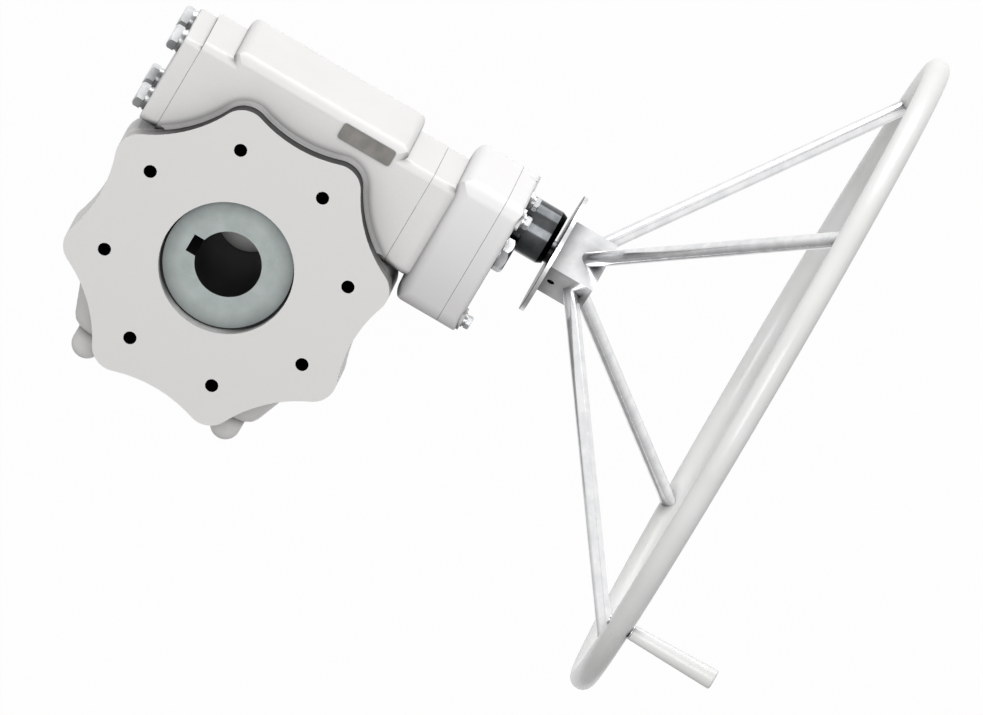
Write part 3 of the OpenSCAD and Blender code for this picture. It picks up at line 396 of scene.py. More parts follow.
@dataclass(frozen=True)
class CastPaint(Finish):
    """Enamel sprayed over sand-cast iron: the sand's grain stays soft, and machined faces are smooth.

    The lengths are in millimetres, and each bump has its strength and its height. The wall is the flange's
    upright side under the worm box, darkened with painted shade. A painted falloff of light greys the paint
    from its -Y side to its +Y side.
    """

    roughness: float = 0.42
    gloss_spread: float = 0.05
    grain_mm: float = 1.3
    grain_bump: tuple[float, float] = (0.35, 0.16)
    wave_mm: float = 9.0
    wave_bump: tuple[float, float] = (0.2, 0.5)
    cloud_mm: float = 70.0
    tone_lift: float = 0.35
    tone_span: tuple[float, float] = (0.25, 0.7)
    machined_below: float = 0.3
    # Reach and power of the painted crease shade, a tight layer and a wide one
    crease_shade_mm: float = 11.0
    crease_shade_power: float = 3.0
    wide_shade_mm: float = 70.0
    wide_shade_power: float = 0.8
    # Where the painted shade on the flange wall lies, and how dark it is
    wall_top_mm: float = 17.0
    wall_y_mm: tuple[float, float] = (-100.0, -60.0)
    wall_shade_share: float = 0.96
    wall_tilt: float = -0.4
    wall_shade_code: str = "060606"
    # The painted falloff of light from -Y to +Y: how strong, over which span, and towards which grey
    falloff_shade: float = 0.0
    falloff_y_mm: tuple[float, float] = (-200.0, -60.0)
    falloff_shade_code: str = "7C7B7A"

    def make(self) -> bpy.types.Material:
        """Builds the material.

        Returns:
            The finished material.
        """
        material, tree, place = self.start()
        shader = tree.nodes["Principled BSDF"]
        grain = noise(tree, place, self.grain_mm, 3.0, 0.6)
        wave = noise(tree, place, self.wave_mm, 2.0)
        cloud = noise(tree, place, self.cloud_mm, 2.0)
        cast = math_node(tree, "GREATER_THAN", parts_of(tree, place)["Z"], self.machined_below * MM)
        rough_cast = math_node(tree, "MULTIPLY", grain, cast)
        fine = bump(tree, rough_cast, *self.grain_bump)
        coarse = bump(tree, wave, *self.wave_bump, fine)
        gloss_ends = (self.roughness - self.gloss_spread, self.roughness + self.gloss_spread)
        gloss = ramp_node(tree, cloud, (0.0, 1.0), gloss_ends)
        mixed = math_node(tree, "MULTIPLY_ADD", cloud, rough_cast, self.tone_lift)
        tone = self.blend(tree, mixed, *self.tone_span)
        # Painted shade: a tight and a wide layer darken the enamel near other surfaces
        colour = self.painted_crease_shade(tree, tone, self.crease_shade_mm, self.crease_shade_power)
        colour = self.painted_crease_shade(tree, colour, self.wide_shade_mm, self.wide_shade_power)
        # Painted falloff of light: the colour greys from the -Y side towards +Y
        if self.falloff_shade:
            span = (self.falloff_y_mm[0] * MM, self.falloff_y_mm[1] * MM)
            share = ramp_node(tree, parts_of(tree, place)["Y"], span, (0.0, self.falloff_shade))
            colour = mix_colour(tree, share, colour, linear(self.falloff_shade_code))
        tree.links.new(self.shaded_wall(tree, colour, place), shader.inputs["Base Color"])
        tree.links.new(gloss, shader.inputs["Roughness"])
        tree.links.new(coarse, shader.inputs["Normal"])
        shader.inputs["IOR"].default_value = PAINT_IOR
        return material

    def shaded_wall(
        self, tree: bpy.types.NodeTree, colour: bpy.types.NodeSocket, place: bpy.types.NodeSocket
    ) -> bpy.types.NodeSocket:
        """Paints shade on the flange's upright wall below the worm box, where little light gets in.

        Args:
            tree: The material's node tree.
            colour: The colour so far.
            place: The Object coordinates.

        Returns:
            The colour with the painted shade on the wall.
        """
        spot = parts_of(tree, place)
        low = math_node(tree, "LESS_THAN", spot["Z"], self.wall_top_mm * MM)
        steep = math_node(tree, "GREATER_THAN", normal_parts(tree)["Z"], self.wall_tilt)
        span = (self.wall_y_mm[0] * MM, self.wall_y_mm[1] * MM)
        under = ramp_node(tree, spot["Y"], span, (self.wall_shade_share, 0.0))
        share = math_node(tree, "MULTIPLY", math_node(tree, "MULTIPLY", low, steep), under)
        return mix_colour(tree, share, colour, linear(self.wall_shade_code))


@dataclass(frozen=True)
class GlossPaint(Finish):
    """Stoved enamel on a smooth steel tube: a level film with a faint orange peel."""

    roughness: float = 0.24
    peel_mm: float = 2.4
    peel_bump: tuple[float, float] = (0.12, 0.1)
    cloud_mm: float = 90.0
    crease_shade_mm: float = 16.0
    crease_shade_power: float = 1.5

    def make(self) -> bpy.types.Material:
        """Builds the material.

        Returns:
            The finished material.
        """
        material, tree, place = self.start()
        shader = tree.nodes["Principled BSDF"]
        level = bump(tree, noise(tree, place, self.peel_mm, 1.0), *self.peel_bump)
        cloud = self.blend(tree, noise(tree, place, self.cloud_mm, 2.0))
        # Painted shade in creases and near other parts
        colour = self.painted_crease_shade(tree, cloud, self.crease_shade_mm, self.crease_shade_power)
        tree.links.new(colour, shader.inputs["Base Color"])
        tree.links.new(level, shader.inputs["Normal"])
        shader.inputs["Roughness"].default_value = self.roughness
        shader.inputs["IOR"].default_value = PAINT_IOR
        return material


@dataclass(frozen=True)
class WorkedMetal(Finish):
    """Bare metal that was turned, drawn, ground or plated: fine lines over a soft cloud of tone."""

    roughness: float = 0.25
    line_mm: float = 0.5
    stretch: float = 30.0
    along: Axis = Axis.X
    turned: bool = False
    depth: float = 0.1
    metallic: float = 1.0
    shade_below_x_mm: float | None = None
    back_shade_code: str = "1C1C1D"
    line_height_mm: float = 0.05
    gloss_shares: tuple[float, float] = (0.85, 1.2)
    cloud_mm: float = 14.0
    crease_shade_mm: float = 20.0
    crease_shade_power: float = 1.6

    def make(self) -> bpy.types.Material:
        """Builds the material.

        Returns:
            The finished material.
        """
        material, tree, place = self.start()
        shader = tree.nodes["Principled BSDF"]
        squeeze = [1.0, 1.0, 1.0]
        squeeze[self.along.value] = 1.0 / self.stretch
        if self.turned:
            squeeze = [1.0 / self.stretch] * 3
            squeeze[self.along.value] = 1.0
        along = add_node(tree, "ShaderNodeMapping", {"Vector": place, "Scale": tuple(squeeze)}).outputs[0]
        lines = noise(tree, along, self.line_mm, 2.0)
        cloud = self.blend(tree, noise(tree, place, self.cloud_mm, 3.0))
        gloss_ends = (self.roughness * self.gloss_shares[0], self.roughness * self.gloss_shares[1])
        gloss = ramp_node(tree, lines, (0.0, 1.0), gloss_ends)
        # Painted shade in creases and near other parts
        colour = self.painted_crease_shade(tree, cloud, self.crease_shade_mm, self.crease_shade_power)
        # Painted dark reflection: below the given X the colour turns near black
        if self.shade_below_x_mm is not None:
            back = math_node(tree, "LESS_THAN", parts_of(tree, place)["X"], self.shade_below_x_mm * MM)
            colour = mix_colour(tree, back, colour, linear(self.back_shade_code))
        tree.links.new(colour, shader.inputs["Base Color"])
        tree.links.new(gloss, shader.inputs["Roughness"])
        tree.links.new(bump(tree, lines, self.depth, self.line_height_mm), shader.inputs["Normal"])
        shader.inputs["Metallic"].default_value = self.metallic
        return material


@dataclass(frozen=True)
class Mottled(Finish):
    """A dull surface with a speckle of its own: phosphated iron, rubber or gasket fibre."""

    roughness: float = 0.6
    speck_mm: float = 0.9
    depth: float = 0.2
    bore_shade_above_mm: float | None = None
    inner: str = "060606"
    speck_height_mm: float = 0.1
    cloud_mm: float = 18.0
    crease_shade_mm: float = 20.0
    crease_shade_power: float = 1.2

    def make(self) -> bpy.types.Material:
        """Builds the material.

        Returns:
            The finished material.
        """
        material, tree, place = self.start()
        shader = tree.nodes["Principled BSDF"]
        speck = noise(tree, place, self.speck_mm, 4.0, 0.7)
        both = math_node(tree, "ADD", speck, noise(tree, place, self.cloud_mm, 2.0))
        tone = self.blend(tree, math_node(tree, "MULTIPLY", both, 0.5))
        # Painted shade in creases and near other parts
        colour = self.painted_crease_shade(tree, tone, self.crease_shade_mm, self.crease_shade_power)
        # Painted shade: above the given height, deep in the bore, the colour turns near black
        if self.bore_shade_above_mm is not None:
            in_bore = math_node(tree, "GREATER_THAN", parts_of(tree, place)["Z"], self.bore_shade_above_mm * MM)
            colour = mix_colour(tree, in_bore, colour, linear(self.inner))
        tree.links.new(colour, shader.inputs["Base Color"])
        tree.links.new(bump(tree, speck, self.depth, self.speck_height_mm), shader.inputs["Normal"])
        shader.inputs["Roughness"].default_value = self.roughness
        shader.inputs["IOR"].default_value = PAINT_IOR
        return material


AnyFinish = CastPaint | GlossPaint | WorkedMetal | Mottled


class Slot(Enum):
    """The record's material slots, each with the finish that it gets here."""

    # Two-pack enamel over a sand casting: satin, with the sand's grain softened
    HOUSING_PAINT = ("housing_paint", CastPaint("cast_iron_enamel", "E9E8E7", "DFDEDC"))
    # Stoved gloss enamel over tube: level and bright
    WHEEL_PAINT = ("wheel_paint", GlossPaint("stoved_tube_enamel", "EDEDEC", "E6E6E4"))
    # Zinc phosphate on nodular iron: grey-green and finely crystalline, its bore above 14.3 mm painted near
    # black as shade
    SLEEVE_IRON = ("sleeve_iron", Mottled("phosphated_iron", "B6BFBD", "A2ABA9", 0.55, 0.9, 0.2, 14.3))
    # Drawn and polished mild steel bar: long faint draw lines
    POLISHED_STEEL = (
        "polished_steel",
        WorkedMetal("polished_drawn_steel", "F1F1F2", "E3E4E5", 0.17, 0.6, 40.0, Axis.X, False, 0.05),
    )
    # Zinc-plated fasteners: bright, slightly clouded by the bath
    BOLT_STEEL = (
        "bolt_steel",
        WorkedMetal("zinc_plated_bolt", "E6E7E8", "D2D4D6", 0.3, 0.4, 4.0, Axis.X, True, 0.12),
    )
    WASHER_STEEL = ("washer_steel", WorkedMetal("zinc_plated_washer", "DADBDD", "C4C6C8", 0.34, 0.4, 8.0))
    # Hobbed and ground alloy steel: cutter lines across the teeth
    GEAR_STEEL = ("gear_steel", WorkedMetal("hobbed_gear_steel", "A7A9AB", "8D9092", 0.32, 0.5, 20.0))
    # Bearing races: lapped to a mirror
    BEARING_STEEL = (
        "bearing_steel",
        WorkedMetal("lapped_bearing_steel", "C3C5C7", "B4B6B9", 0.14, 0.3, 20.0),
    )
    # Black oxide on high-tensile steel: dark, oily satin
    BLACK_STEEL = ("black_screw_steel", WorkedMetal("black_oxide_steel", "3A3B3D", "2B2C2E", 0.38, 0.4, 6.0))
    # Centrifugally cast gear bronze: warm, turned all over
    BRONZE = ("bronze", WorkedMetal("turned_gear_bronze", "B9925A", "A37F4C", 0.3, 0.5, 20.0, Axis.Z, True))
    # Nitrile rubber: matt black with a fine bloom
    SEAL_RUBBER = ("seal_rubber", Mottled("nitrile_rubber", "26272A", "1C1D1F", 0.62, 0.6, 0.1))
    # Pressed fibre sheet: grey, with its fibres in the surface
    GASKET_FIBRE = ("gasket_fibre", Mottled("pressed_gasket_fibre", "6E7073", "5B5D60", 0.8, 0.5, 0.3))
    # Anodised aluminium sheet with a brushed face
    PLATE_ALLOY = (
        "plate_alloy",
        WorkedMetal("brushed_plate_alloy", "85827F", "757370", 0.42, 0.35, 60.0, Axis.X, False, 0.2, 0.6),
    )

    def __init__(self, label: str, finish: AnyFinish) -> None:
        """Keeps the slot's name in the record and its finish."""
        self.label = label
        self.finish = finish


class Paintbox:
    """Makes each finish once and hands it out."""

    def __init__(self) -> None:
        """Starts with nothing made."""
        self.made: dict[str, bpy.types.Material] = {}

    def material(self, finish: AnyFinish) -> bpy.types.Material:
        """Gives a finish's material, made on first use.

        Args:
            finish: The finish that is wanted.

        Returns:
            Its material.
        """
        if finish.name not in self.made:
            self.made[finish.name] = finish.make()
        return self.made[finish.name]

    def dress(self, piece: bpy.types.Object, finish: AnyFinish) -> None:
        """Puts one finish all over a piece.

        Args:
            piece: The node or new piece to dress.
            finish: Its finish.
        """
        piece.data.materials.clear()
        piece.data.materials.append(self.material(finish))


@dataclass
class SubAssembly:
    """A group of pieces that is built and dressed together."""

    nodes: dict[str, bpy.types.Object]
    paints: Paintbox

    SLOTS: ClassVar[dict[Slot, tuple[str, ...]]] = {}
    OWN: ClassVar[dict[str, AnyFinish]] = {}

    def build(self) -> None:
        """Adds the group's own new pieces."""

    def seat(self, piece: bpy.types.Object, slot: Slot, body: str = "operator_body") -> bpy.types.Object:
        """Dresses a new piece with its slot's finish and ties it to its body.

        Args:
            piece: The new piece.
            slot: The slot that it takes its finish from.
            body: The body that carries it.

        Returns:
            The piece.
        """
        self.paints.dress(piece, slot.finish)
        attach(piece, body)
        LOG.info("made %s", piece.name)
        return piece

    def dress(self) -> None:
        """Gives each node of the group its finish."""
        for slot, names in self.SLOTS.items():
            for name in names:
                self.paints.dress(self.nodes[name], self.OWN.get(name, slot.finish))
                LOG.info("%s: %s", name, self.OWN.get(name, slot.finish).name)


@dataclass
class Gearbox(SubAssembly):
    """The cast housing with its top cover, stops, plate and worm end cover. Sizes are in millimetres."""

    bolt_circle_r: float = 127.0
    bolt_holes: int = 8
    bore_r: float = 6.85
    crest_r: float = 6.4
    thread_pitch: float = 2.0
    thread_from: float = 0.6
    thread_turns: int = 11
    crest_share: float = 0.4
    thread_steps: int = 24
    drill_tip: float = 25.7
    lobe_tip_r: float = 170.0
    lobe_round: float = 26.0
    valley_r: float = 150.0
    root_cove: float = 5.0
    box_low: float = 19.0
    cove_y: float = -90.5
    cove_x: float = 135.5
    cove_corners: int = 6
    cove_steps: int = 20
    proud: float = 0.06
    cover_low: Place = (-155.5, -186.8, 19.0)
    cover_high: Place = (-135.9, -84.4, 138.0)
    cover_rounds: tuple[float, float] = (6.0, 9.0)
    cover_end_round: float = 2.0

    SLOTS = {
        Slot.HOUSING_PAINT: (
            "main_housing",
            "top_cover",
            "worm_end_cover",
            "stop_cap_left",
            "stop_cap_right",
        ),
        Slot.GASKET_FIBRE: ("top_cover_gasket", "end_cover_gasket"),
        Slot.BOLT_STEEL: ("top_cover_bolts", "end_cover_bolts"),
        Slot.WASHER_STEEL: ("end_cover_washers",),
        Slot.BLACK_STEEL: ("stop_screw_left", "stop_screw_right"),
        Slot.BRONZE: ("stop_seal_washers",),
        Slot.PLATE_ALLOY: ("rating_plate",),
    }

    def threads(self) -> bpy.types.Object:
        """Cuts the threads of the flange's bolt holes, as one grooved liner in each hole.

        Returns:
            The piece, with all its liners.
        """
        shape = bmesh.new()
        start = self.thread_from
        side = [(self.bore_r, start)]
        for turn in range(self.thread_turns):
            low = start + turn * self.thread_pitch
            side += [(self.crest_r, low + self.crest_share * self.thread_pitch)]
            side += [(self.bore_r, low + self.thread_pitch)]
        side.append((0.0, self.drill_tip))
        for index in range(self.bolt_holes):
            angle = math.radians((index + 0.5) * 360 / self.bolt_holes)
            middle = MM * self.bolt_circle_r * Vector((math.cos(angle), math.sin(angle), 0))
            line = [shape.verts.new(middle + MM * Vector((r, 0, z))) for r, z in side]
            edges = [shape.edges.new(pair) for pair in zip(line, line[1:])]
            bmesh.ops.spin(
                shape,
                geom=line + edges,
                cent=middle,
                axis=(0, 0, 1),
                angle=math.tau,
                steps=self.thread_steps,
                use_merge=True,
            )
        bmesh.ops.remove_doubles(shape, verts=shape.verts, dist=0.01 * MM)
        bmesh.ops.recalc_face_normals(shape, faces=shape.faces)
        if max(shape.faces, key=lambda face: face.calc_center_median().z).normal.z > 0:
            bmesh.ops.reverse_faces(shape, faces=shape.faces)
        return self.seat(finish_shape(shape, "flange_hole_threads"), Slot.BLACK_STEEL)

    def cove(self) -> bpy.types.Object:
        """Sweeps the cove along the foot of the flange's lobed wall, where it meets the box's underside.

        Returns:
            The piece.
        """
        step = math.tau / self.bolt_holes
        lobe_r = self.lobe_tip_r - self.lobe_round
        side = lobe_r * math.sin(step / 2)
        depth = self.valley_r - lobe_r * math.cos(step / 2)
        valley_round = (depth**2 + side**2 - self.lobe_round**2) / (2 * (self.lobe_round - depth))
        valley_centre = self.valley_r + valley_round
        valley_half = math.atan2(side, valley_centre - lobe_r * math.cos(step / 2))
        shape = bmesh.new()
        for index in range(self.bolt_holes):
            self.cove_arc(shape, (index + 0.5) * step, lobe_r, self.lobe_round, step / 2 + valley_half, 1)
            self.cove_arc(shape, index * step, valley_centre, valley_round, valley_half, -1)
        bmesh.ops.remove_doubles(shape, verts=shape.verts, dist=0.02 * MM)
        for point, way in (
            ((0, self.cove_y * MM, 0), (0, 1, 0)),
            ((self.cove_x * MM, 0, 0), (1, 0, 0)),
            ((-self.cove_x * MM, 0, 0), (-1, 0, 0)),
        ):
            bmesh.ops.bisect_plane(
                shape,
                geom=shape.verts[:] + shape.edges[:] + shape.faces[:],
                plane_co=point,
                plane_no=way,
                clear_outer=True,
            )
        bmesh.ops.recalc_face_normals(shape, faces=shape.faces)
        if sum(face.normal.z for face in shape.faces) > 0:
            bmesh.ops.reverse_faces(shape, faces=shape.faces)
        return self.seat(finish_shape(shape, "flange_cove"), Slot.HOUSING_PAINT)

    def cove_arc(
        self, shape: bmesh.types.BMesh, turn: float, reach: float, wall: float, half: float, out: int
    ) -> None:
        """Spins one stretch of the cove round the middle of a lobe or a valley.

        Args:
            shape: The bmesh that takes it.
            turn: Direction of the lobe or valley, in radians.
            reach: Distance of its middle from the drive axis, in millimetres.
            wall: Radius of its wall, in millimetres.
            half: Half of the angle that it covers, in radians.
            out: 1 where the cove lies outside the wall's circle, -1 where it lies inside.
        """
        middle = MM * reach * Vector((math.cos(turn), math.sin(turn), 0))
        start = turn - half if out > 0 else turn + math.pi - half
        ray = Vector((math.cos(start), math.sin(start), 0))
        line = []
        for corner in range(self.cove_corners + 1):
            angle = math.pi / 2 * corner / self.cove_corners
            r = wall + out * (self.root_cove * (1 - math.cos(angle)) + self.proud)
            z = self.box_low - self.root_cove * (1 - math.sin(angle)) - self.proud
            line.append(shape.verts.new(middle + MM * (r * ray + Vector((0, 0, z)))))
        edges = [shape.edges.new(pair) for pair in zip(line, line[1:])]
        bmesh.ops.spin(
            shape,
            geom=line + edges,
            cent=middle,
            axis=(0, 0, 1),
            angle=2 * half,
            steps=self.cove_steps,
            use_merge=False,
        )

    def cover(self) -> bpy.types.Object:
        """Casts the worm end cover, flush with the neck that it closes.

        Returns:
            The piece.
        """
        shape = cast_block(self.cover_low, self.cover_high, self.cover_rounds, self.cover_end_round, -1)
        return self.seat(finish_shape(shape, "end_cover_casting", smooth=False), Slot.HOUSING_PAINT)

    def build(self) -> None:
        """Adds the hole threads and the flange's cove, and casts the end cover."""
        self.threads()
        self.cove()
        cover = self.cover()
        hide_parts("worm_end_cover")


@dataclass
class WormGearing(SubAssembly):
    """The worm with its bearings, and the wheel on its drive sleeve."""

    SLOTS = {
        Slot.SLEEVE_IRON: ("drive_sleeve",),
        Slot.BRONZE: ("worm_wheel", "lower_sleeve_bush", "upper_sleeve_bush", "sleeve_thrust_washer"),
        Slot.SEAL_RUBBER: ("lower_sleeve_seal", "upper_sleeve_seal"),
        Slot.BLACK_STEEL: ("worm_wheel_screws", "pointer_screws"),
        Slot.WHEEL_PAINT: ("position_pointer",),
        Slot.GEAR_STEEL: ("worm_shaft",),
        Slot.BEARING_STEEL: (
            "worm_bearing_rear_outer",
            "worm_bearing_front_outer",
            "worm_bearing_rear_inner",
            "worm_bearing_front_inner",
            "worm_bearing_balls",
        ),
    }


@dataclass
class ReductionStage(SubAssembly):
    """The spur gears with their housing, cover and eccentric carrier. Sizes are in millimetres."""

    side_y: float = -209.03
    filler_depth: float = 3.0
    filler_lap: float = 0.5
    filler_sides: int = 32
    neck_low: Place = (135.9, -192.0, 19.0)
    neck_high: Place = (168.0, -82.4, 138.5)
    neck_rounds: tuple[float, float] = (9.0, 9.0)
    neck_end_round: float = 0.5

    SLOTS = {
        Slot.HOUSING_PAINT: ("reduction_housing", "reduction_cover", "reduction_cover_screws"),
        Slot.GASKET_FIBRE: ("reduction_gasket",),
        Slot.BLACK_STEEL: ("reduction_housing_screws", "carrier_lock_screw", "spur_gear_ring"),
        Slot.BOLT_STEEL: ("reduction_cover_bolts", "worm_access_plug"),
        Slot.WASHER_STEEL: ("reduction_cover_washers",),
        Slot.GEAR_STEEL: ("spur_gear", "spur_gear_key", "input_shaft", "hub_key"),
        Slot.POLISHED_STEEL: ("input_carrier",),
        Slot.BRONZE: ("input_front_bush", "input_tail_bush"),
        Slot.SEAL_RUBBER: ("input_shaft_seal",),
    }
    # The same enamel painted lighter as a lit copy, with a painted falloff of light greying it from the -Y
    # side towards +Y
    LIT_FALLOFF_COAT = CastPaint("cast_iron_enamel_lit_falloff", "F1F0F0", "ECEBEA", falloff_shade=0.4)
    OWN = {
        "reduction_housing": LIT_FALLOFF_COAT,
        "reduction_cover": LIT_FALLOFF_COAT,
        # Oil-blacked and polished steel: dark, yet it mirrors what stands round it
        "input_carrier": WorkedMetal(
            "oil_blacked_turned_steel", "5A5C5E", "4A4C4E", 0.14, 0.6, 30.0, Axis.X, True, 0.04
        ),
    }

    def neck(self) -> bpy.types.Object:
        """Casts the neck that runs flush from the gearbox's neck into the reduction housing.

        Returns:
            The piece.
        """
        shape = cast_block(self.neck_low, self.neck_high, self.neck_rounds, self.neck_end_round, 1)
        return self.seat(finish_shape(shape, "reduction_neck_casting", smooth=False), Slot.HOUSING_PAINT)

    def filler(self) -> bpy.types.Object:
        """Fills the hole over the carrier's lock screw, level with the cover's side.

        Returns:
            The piece.
        """
        screw = self.nodes["carrier_lock_screw"]
        corners = [screw.matrix_world @ Vector(corner) for corner in screw.bound_box]
        low = Vector([min(corner[i] for corner in corners) for i in range(3)])
        high = Vector([max(corner[i] for corner in corners) for i in range(3)])
        radius = (high.x - low.x) / 2 + self.filler_lap * MM
        shape = bmesh.new()
        bmesh.ops.create_cone(
            shape,
            cap_ends=True,
            segments=self.filler_sides,
            radius1=radius,
            radius2=radius,
            depth=self.filler_depth * MM,
        )
        bmesh.ops.rotate(shape, verts=shape.verts, matrix=Matrix.Rotation(math.pi / 2, 3, "X"))
        middle = (low + high) / 2
        middle.y = (self.side_y + self.filler_depth / 2) * MM
        bmesh.ops.translate(shape, verts=shape.verts, vec=middle)
        return self.seat(finish_shape(shape, "lock_screw_filler", smooth=False), Slot.HOUSING_PAINT)

    def build(self) -> None:
        """Adds the neck casting and the filler over the lock screw."""
        self.neck()
        self.filler()


@dataclass
class Handwheel(SubAssembly):
    """The fabricated wheel: disc, square hub, round spokes, tube rim and spinner handle."""

    SLOTS = {
        Slot.POLISHED_STEEL: ("handwheel_disc", "handwheel_hub", "spoke_1", "spoke_2", "spoke_3", "spoke_4"),
        Slot.WHEEL_PAINT: ("handwheel_rim", "handle_grip"),
        Slot.BLACK_STEEL: ("hub_set_screw",),
        Slot.BOLT_STEEL: ("handle_pin",),
    }
    OWN = {
        # Laser-cut plate: bright on its cut rim, with a painted dark reflection of the shaded gearbox on the
        # side towards it
        "handwheel_disc": WorkedMetal(
            "laser_cut_plate_shaded_back", "E2E3E4", "D2D3D5", 0.3, 0.6, 12.0, Axis.X, True, 0.05, 1.0, 282.6
        ),
    }


@dataclass(frozen=True)
class SoftBox:
    """A large square lamp that points at the object's middle."""

    name: str
    place: Place
    size: float
    watts: float

    def make(self, aim: Vector) -> bpy.types.Object:
        """Hangs the lamp.

        Args:
            aim: The point that the lamp faces.

        Returns:
            The lamp's object.
        """
        lamp = bpy.data.lights.new(self.name, "AREA")
        lamp.shape = "SQUARE"
        lamp.size = self.size
        lamp.energy = self.watts
        holder = bpy.data.objects.new(self.name, lamp)
        holder.location = self.place
        holder.rotation_mode = "QUATERNION"
        holder.rotation_quaternion = (aim - Vector(self.place)).to_track_quat("-Z", "Y")
        bpy.context.scene.collection.objects.link(holder)
        return holder


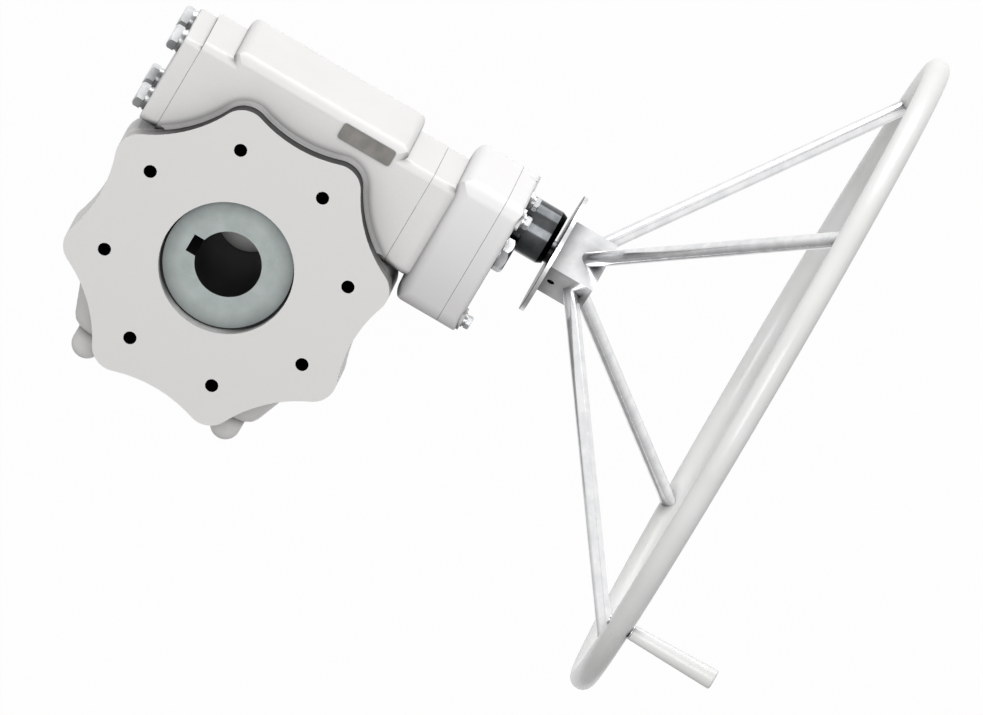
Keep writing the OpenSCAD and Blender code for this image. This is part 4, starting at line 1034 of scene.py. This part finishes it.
@dataclass
class Studio:
    """Camera, lamps, pale floor and surroundings of the picture. Lengths without a unit are in metres."""

    look: Place = (0.0241, 0.3065, 0.9516)
    roll_deg: float = 30.295
    centre_mm: tuple[float, float] = (272.09, 91.65)
    lens_mm: float = 1240.0
    view_width: float = 1.0078
    floor_height: float = 0.78
    floor_radius: float = 0.75
    bright_side: float = 0.52
    dark_side: float = 0.3
    shell_radius: float = 4.0
    shell_light: float = 0.95
    shell_dark: float = 0.34
    floor_middle: tuple[float, float] = (0.3, 0.2)
    floor_seen: float = 0.97
    sensor_mm: float = 36.0
    clip: tuple[float, float] = (1.0, 500.0)
    aim: Place = (0.2, -0.05, 0.1)
    lamps: tuple[SoftBox, ...] = (
        SoftBox("top_softbox", (0.1, -3.0, 1.0), 2.4, 56.0),
        SoftBox("front_softbox", (-0.1, -0.9, -2.9), 1.8, 46.0),
    )

    def camera(self) -> bpy.types.Object:
        """Sets the camera at the photograph's angle, far off behind a long lens.

        Returns:
            The camera's object.
        """
        ahead = Vector(self.look).normalized()
        along = (Vector((1, 0, 0)) - ahead.x * ahead).normalized()
        across = ahead.cross(along)
        turn = math.radians(self.roll_deg)
        right = math.cos(turn) * along - math.sin(turn) * across
        down = math.sin(turn) * along + math.cos(turn) * across
        middle = MM * (self.centre_mm[0] * right + self.centre_mm[1] * down)
        lens = bpy.data.cameras.new("camera")
        lens.lens = self.lens_mm
        lens.sensor_width = self.sensor_mm
        distance = self.view_width * lens.lens / lens.sensor_width
        lens.clip_start, lens.clip_end = self.clip
        holder = bpy.data.objects.new("camera", lens)
        turned = Matrix((right, -down, -ahead)).transposed().to_4x4()
        holder.matrix_world = Matrix.Translation(middle - distance * ahead) @ turned
        bpy.context.scene.collection.objects.link(holder)
        bpy.context.scene.camera = holder
        return holder

    def surroundings(self) -> None:
        """Makes the world: soft light that fades from -Y to +Y, but plain white where seen or mirrored."""
        world = bpy.data.worlds.new("studio_surroundings")
        world.use_nodes = True
        tree = world.node_tree
        tree.nodes.clear()
        rays = add_node(tree, "ShaderNodeLightPath").outputs
        sky = add_node(tree, "ShaderNodeTexCoord").outputs["Generated"]
        level = parts_of(tree, sky)["Y"]
        strength = ramp_node(tree, level, (-1.0, 1.0), (self.bright_side, self.dark_side))
        seen = math_node(tree, "MAXIMUM", rays["Is Camera Ray"], rays["Is Glossy Ray"])
        seen = math_node(tree, "MAXIMUM", seen, rays["Is Transmission Ray"])
        soft = add_node(tree, "ShaderNodeBackground", {"Color": linear("FFFFFF"), "Strength": strength})
        white = add_node(tree, "ShaderNodeBackground", {"Color": linear("FFFFFF"), "Strength": 1.0})
        mixed = add_node(tree, "ShaderNodeMixShader", {0: seen, 1: soft.outputs[0], 2: white.outputs[0]})
        add_node(tree, "ShaderNodeOutputWorld", {"Surface": mixed.outputs[0]})
        bpy.context.scene.world = world

    def floor(self) -> bpy.types.Object:
        """Lays the pale table that the object lies on with its flange up. It is open to view from behind.

        Returns:
            The floor's object.
        """
        shape = bmesh.new()
        bmesh.ops.create_circle(shape, cap_ends=True, segments=96, radius=self.floor_radius)
        bmesh.ops.reverse_faces(shape, faces=shape.faces)
        bmesh.ops.translate(shape, verts=shape.verts, vec=(*self.floor_middle, self.floor_height))
        floor = link_piece("pale_floor", shape)
        material = bpy.data.materials.new("pale_table_top")
        material.use_nodes = True
        tree = material.node_tree
        tree.nodes.clear()
        rays = add_node(tree, "ShaderNodeLightPath").outputs
        behind = add_node(tree, "ShaderNodeNewGeometry").outputs["Backfacing"]
        cloth = add_node(tree, "ShaderNodeBsdfDiffuse", {"Color": linear("F4F4F4")}).outputs[0]
        glow = add_node(tree, "ShaderNodeEmission", {"Color": linear("FFFFFF"), "Strength": 1.0}).outputs[0]
        seen = math_node(tree, "MAXIMUM", rays["Is Camera Ray"], rays["Is Glossy Ray"])
        share = math_node(tree, "MULTIPLY", seen, self.floor_seen)
        top = add_node(tree, "ShaderNodeMixShader", {0: share, 1: cloth, 2: glow}).outputs[0]
        clear = add_node(tree, "ShaderNodeBsdfTransparent").outputs[0]
        sheet = add_node(tree, "ShaderNodeMixShader", {0: behind, 1: top, 2: clear}).outputs[0]
        add_node(tree, "ShaderNodeOutputMaterial", {"Surface": sheet})
        floor.data.materials.append(material)
        return floor

    def reflector(self) -> bpy.types.Object:
        """Hangs the half shell on the +Y side that shiny metal mirrors, pale at its rim, grey at its middle.

        Returns:
            The shell's object.
        """
        shape = bmesh.new()
        bmesh.ops.create_uvsphere(shape, u_segments=48, v_segments=24, radius=self.shell_radius)
        bmesh.ops.bisect_plane(
            shape,
            geom=shape.verts[:] + shape.edges[:] + shape.faces[:],
            plane_co=(0, 0, 0),
            plane_no=(0, 1, 0),
            clear_inner=True,
        )
        shell = link_piece("graded_reflector", shape)
        material = bpy.data.materials.new("graded_reflector_cloth")
        material.use_nodes = True
        tree = material.node_tree
        tree.nodes.clear()
        place = add_node(tree, "ShaderNodeTexCoord").outputs["Object"]
        tone = ramp_node(
            tree, parts_of(tree, place)["Y"], (0.0, self.shell_radius), (self.shell_light, self.shell_dark)
        )
        glow = add_node(tree, "ShaderNodeEmission", {"Color": linear("FFFFFF"), "Strength": tone}).outputs[0]
        add_node(tree, "ShaderNodeOutputMaterial", {"Surface": glow})
        shell.data.materials.append(material)
        for sight in ("camera", "diffuse", "transmission", "volume_scatter", "shadow"):
            setattr(shell, f"visible_{sight}", False)
        return shell

    def build(self) -> None:
        """Sets up the whole studio."""
        self.camera()
        self.surroundings()
        self.floor()
        self.reflector()
        for lamp in self.lamps:
            lamp.make(Vector(self.aim))
        bpy.context.scene.view_settings.view_transform = "Standard"


def main() -> None:
    """Loads the frame, dresses the object group by group and sets up its picture."""
    logging.basicConfig(level=logging.INFO, format="%(name)s: %(message)s")
    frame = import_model()
    paints = Paintbox()
    for group in (Gearbox, WormGearing, ReductionStage, Handwheel):
        part = group(frame["nodes"], paints)
        part.build()
        part.dress()
        LOG.info("%s done", group.__name__)
    Studio().build()


if __name__ == "__main__":
    main()
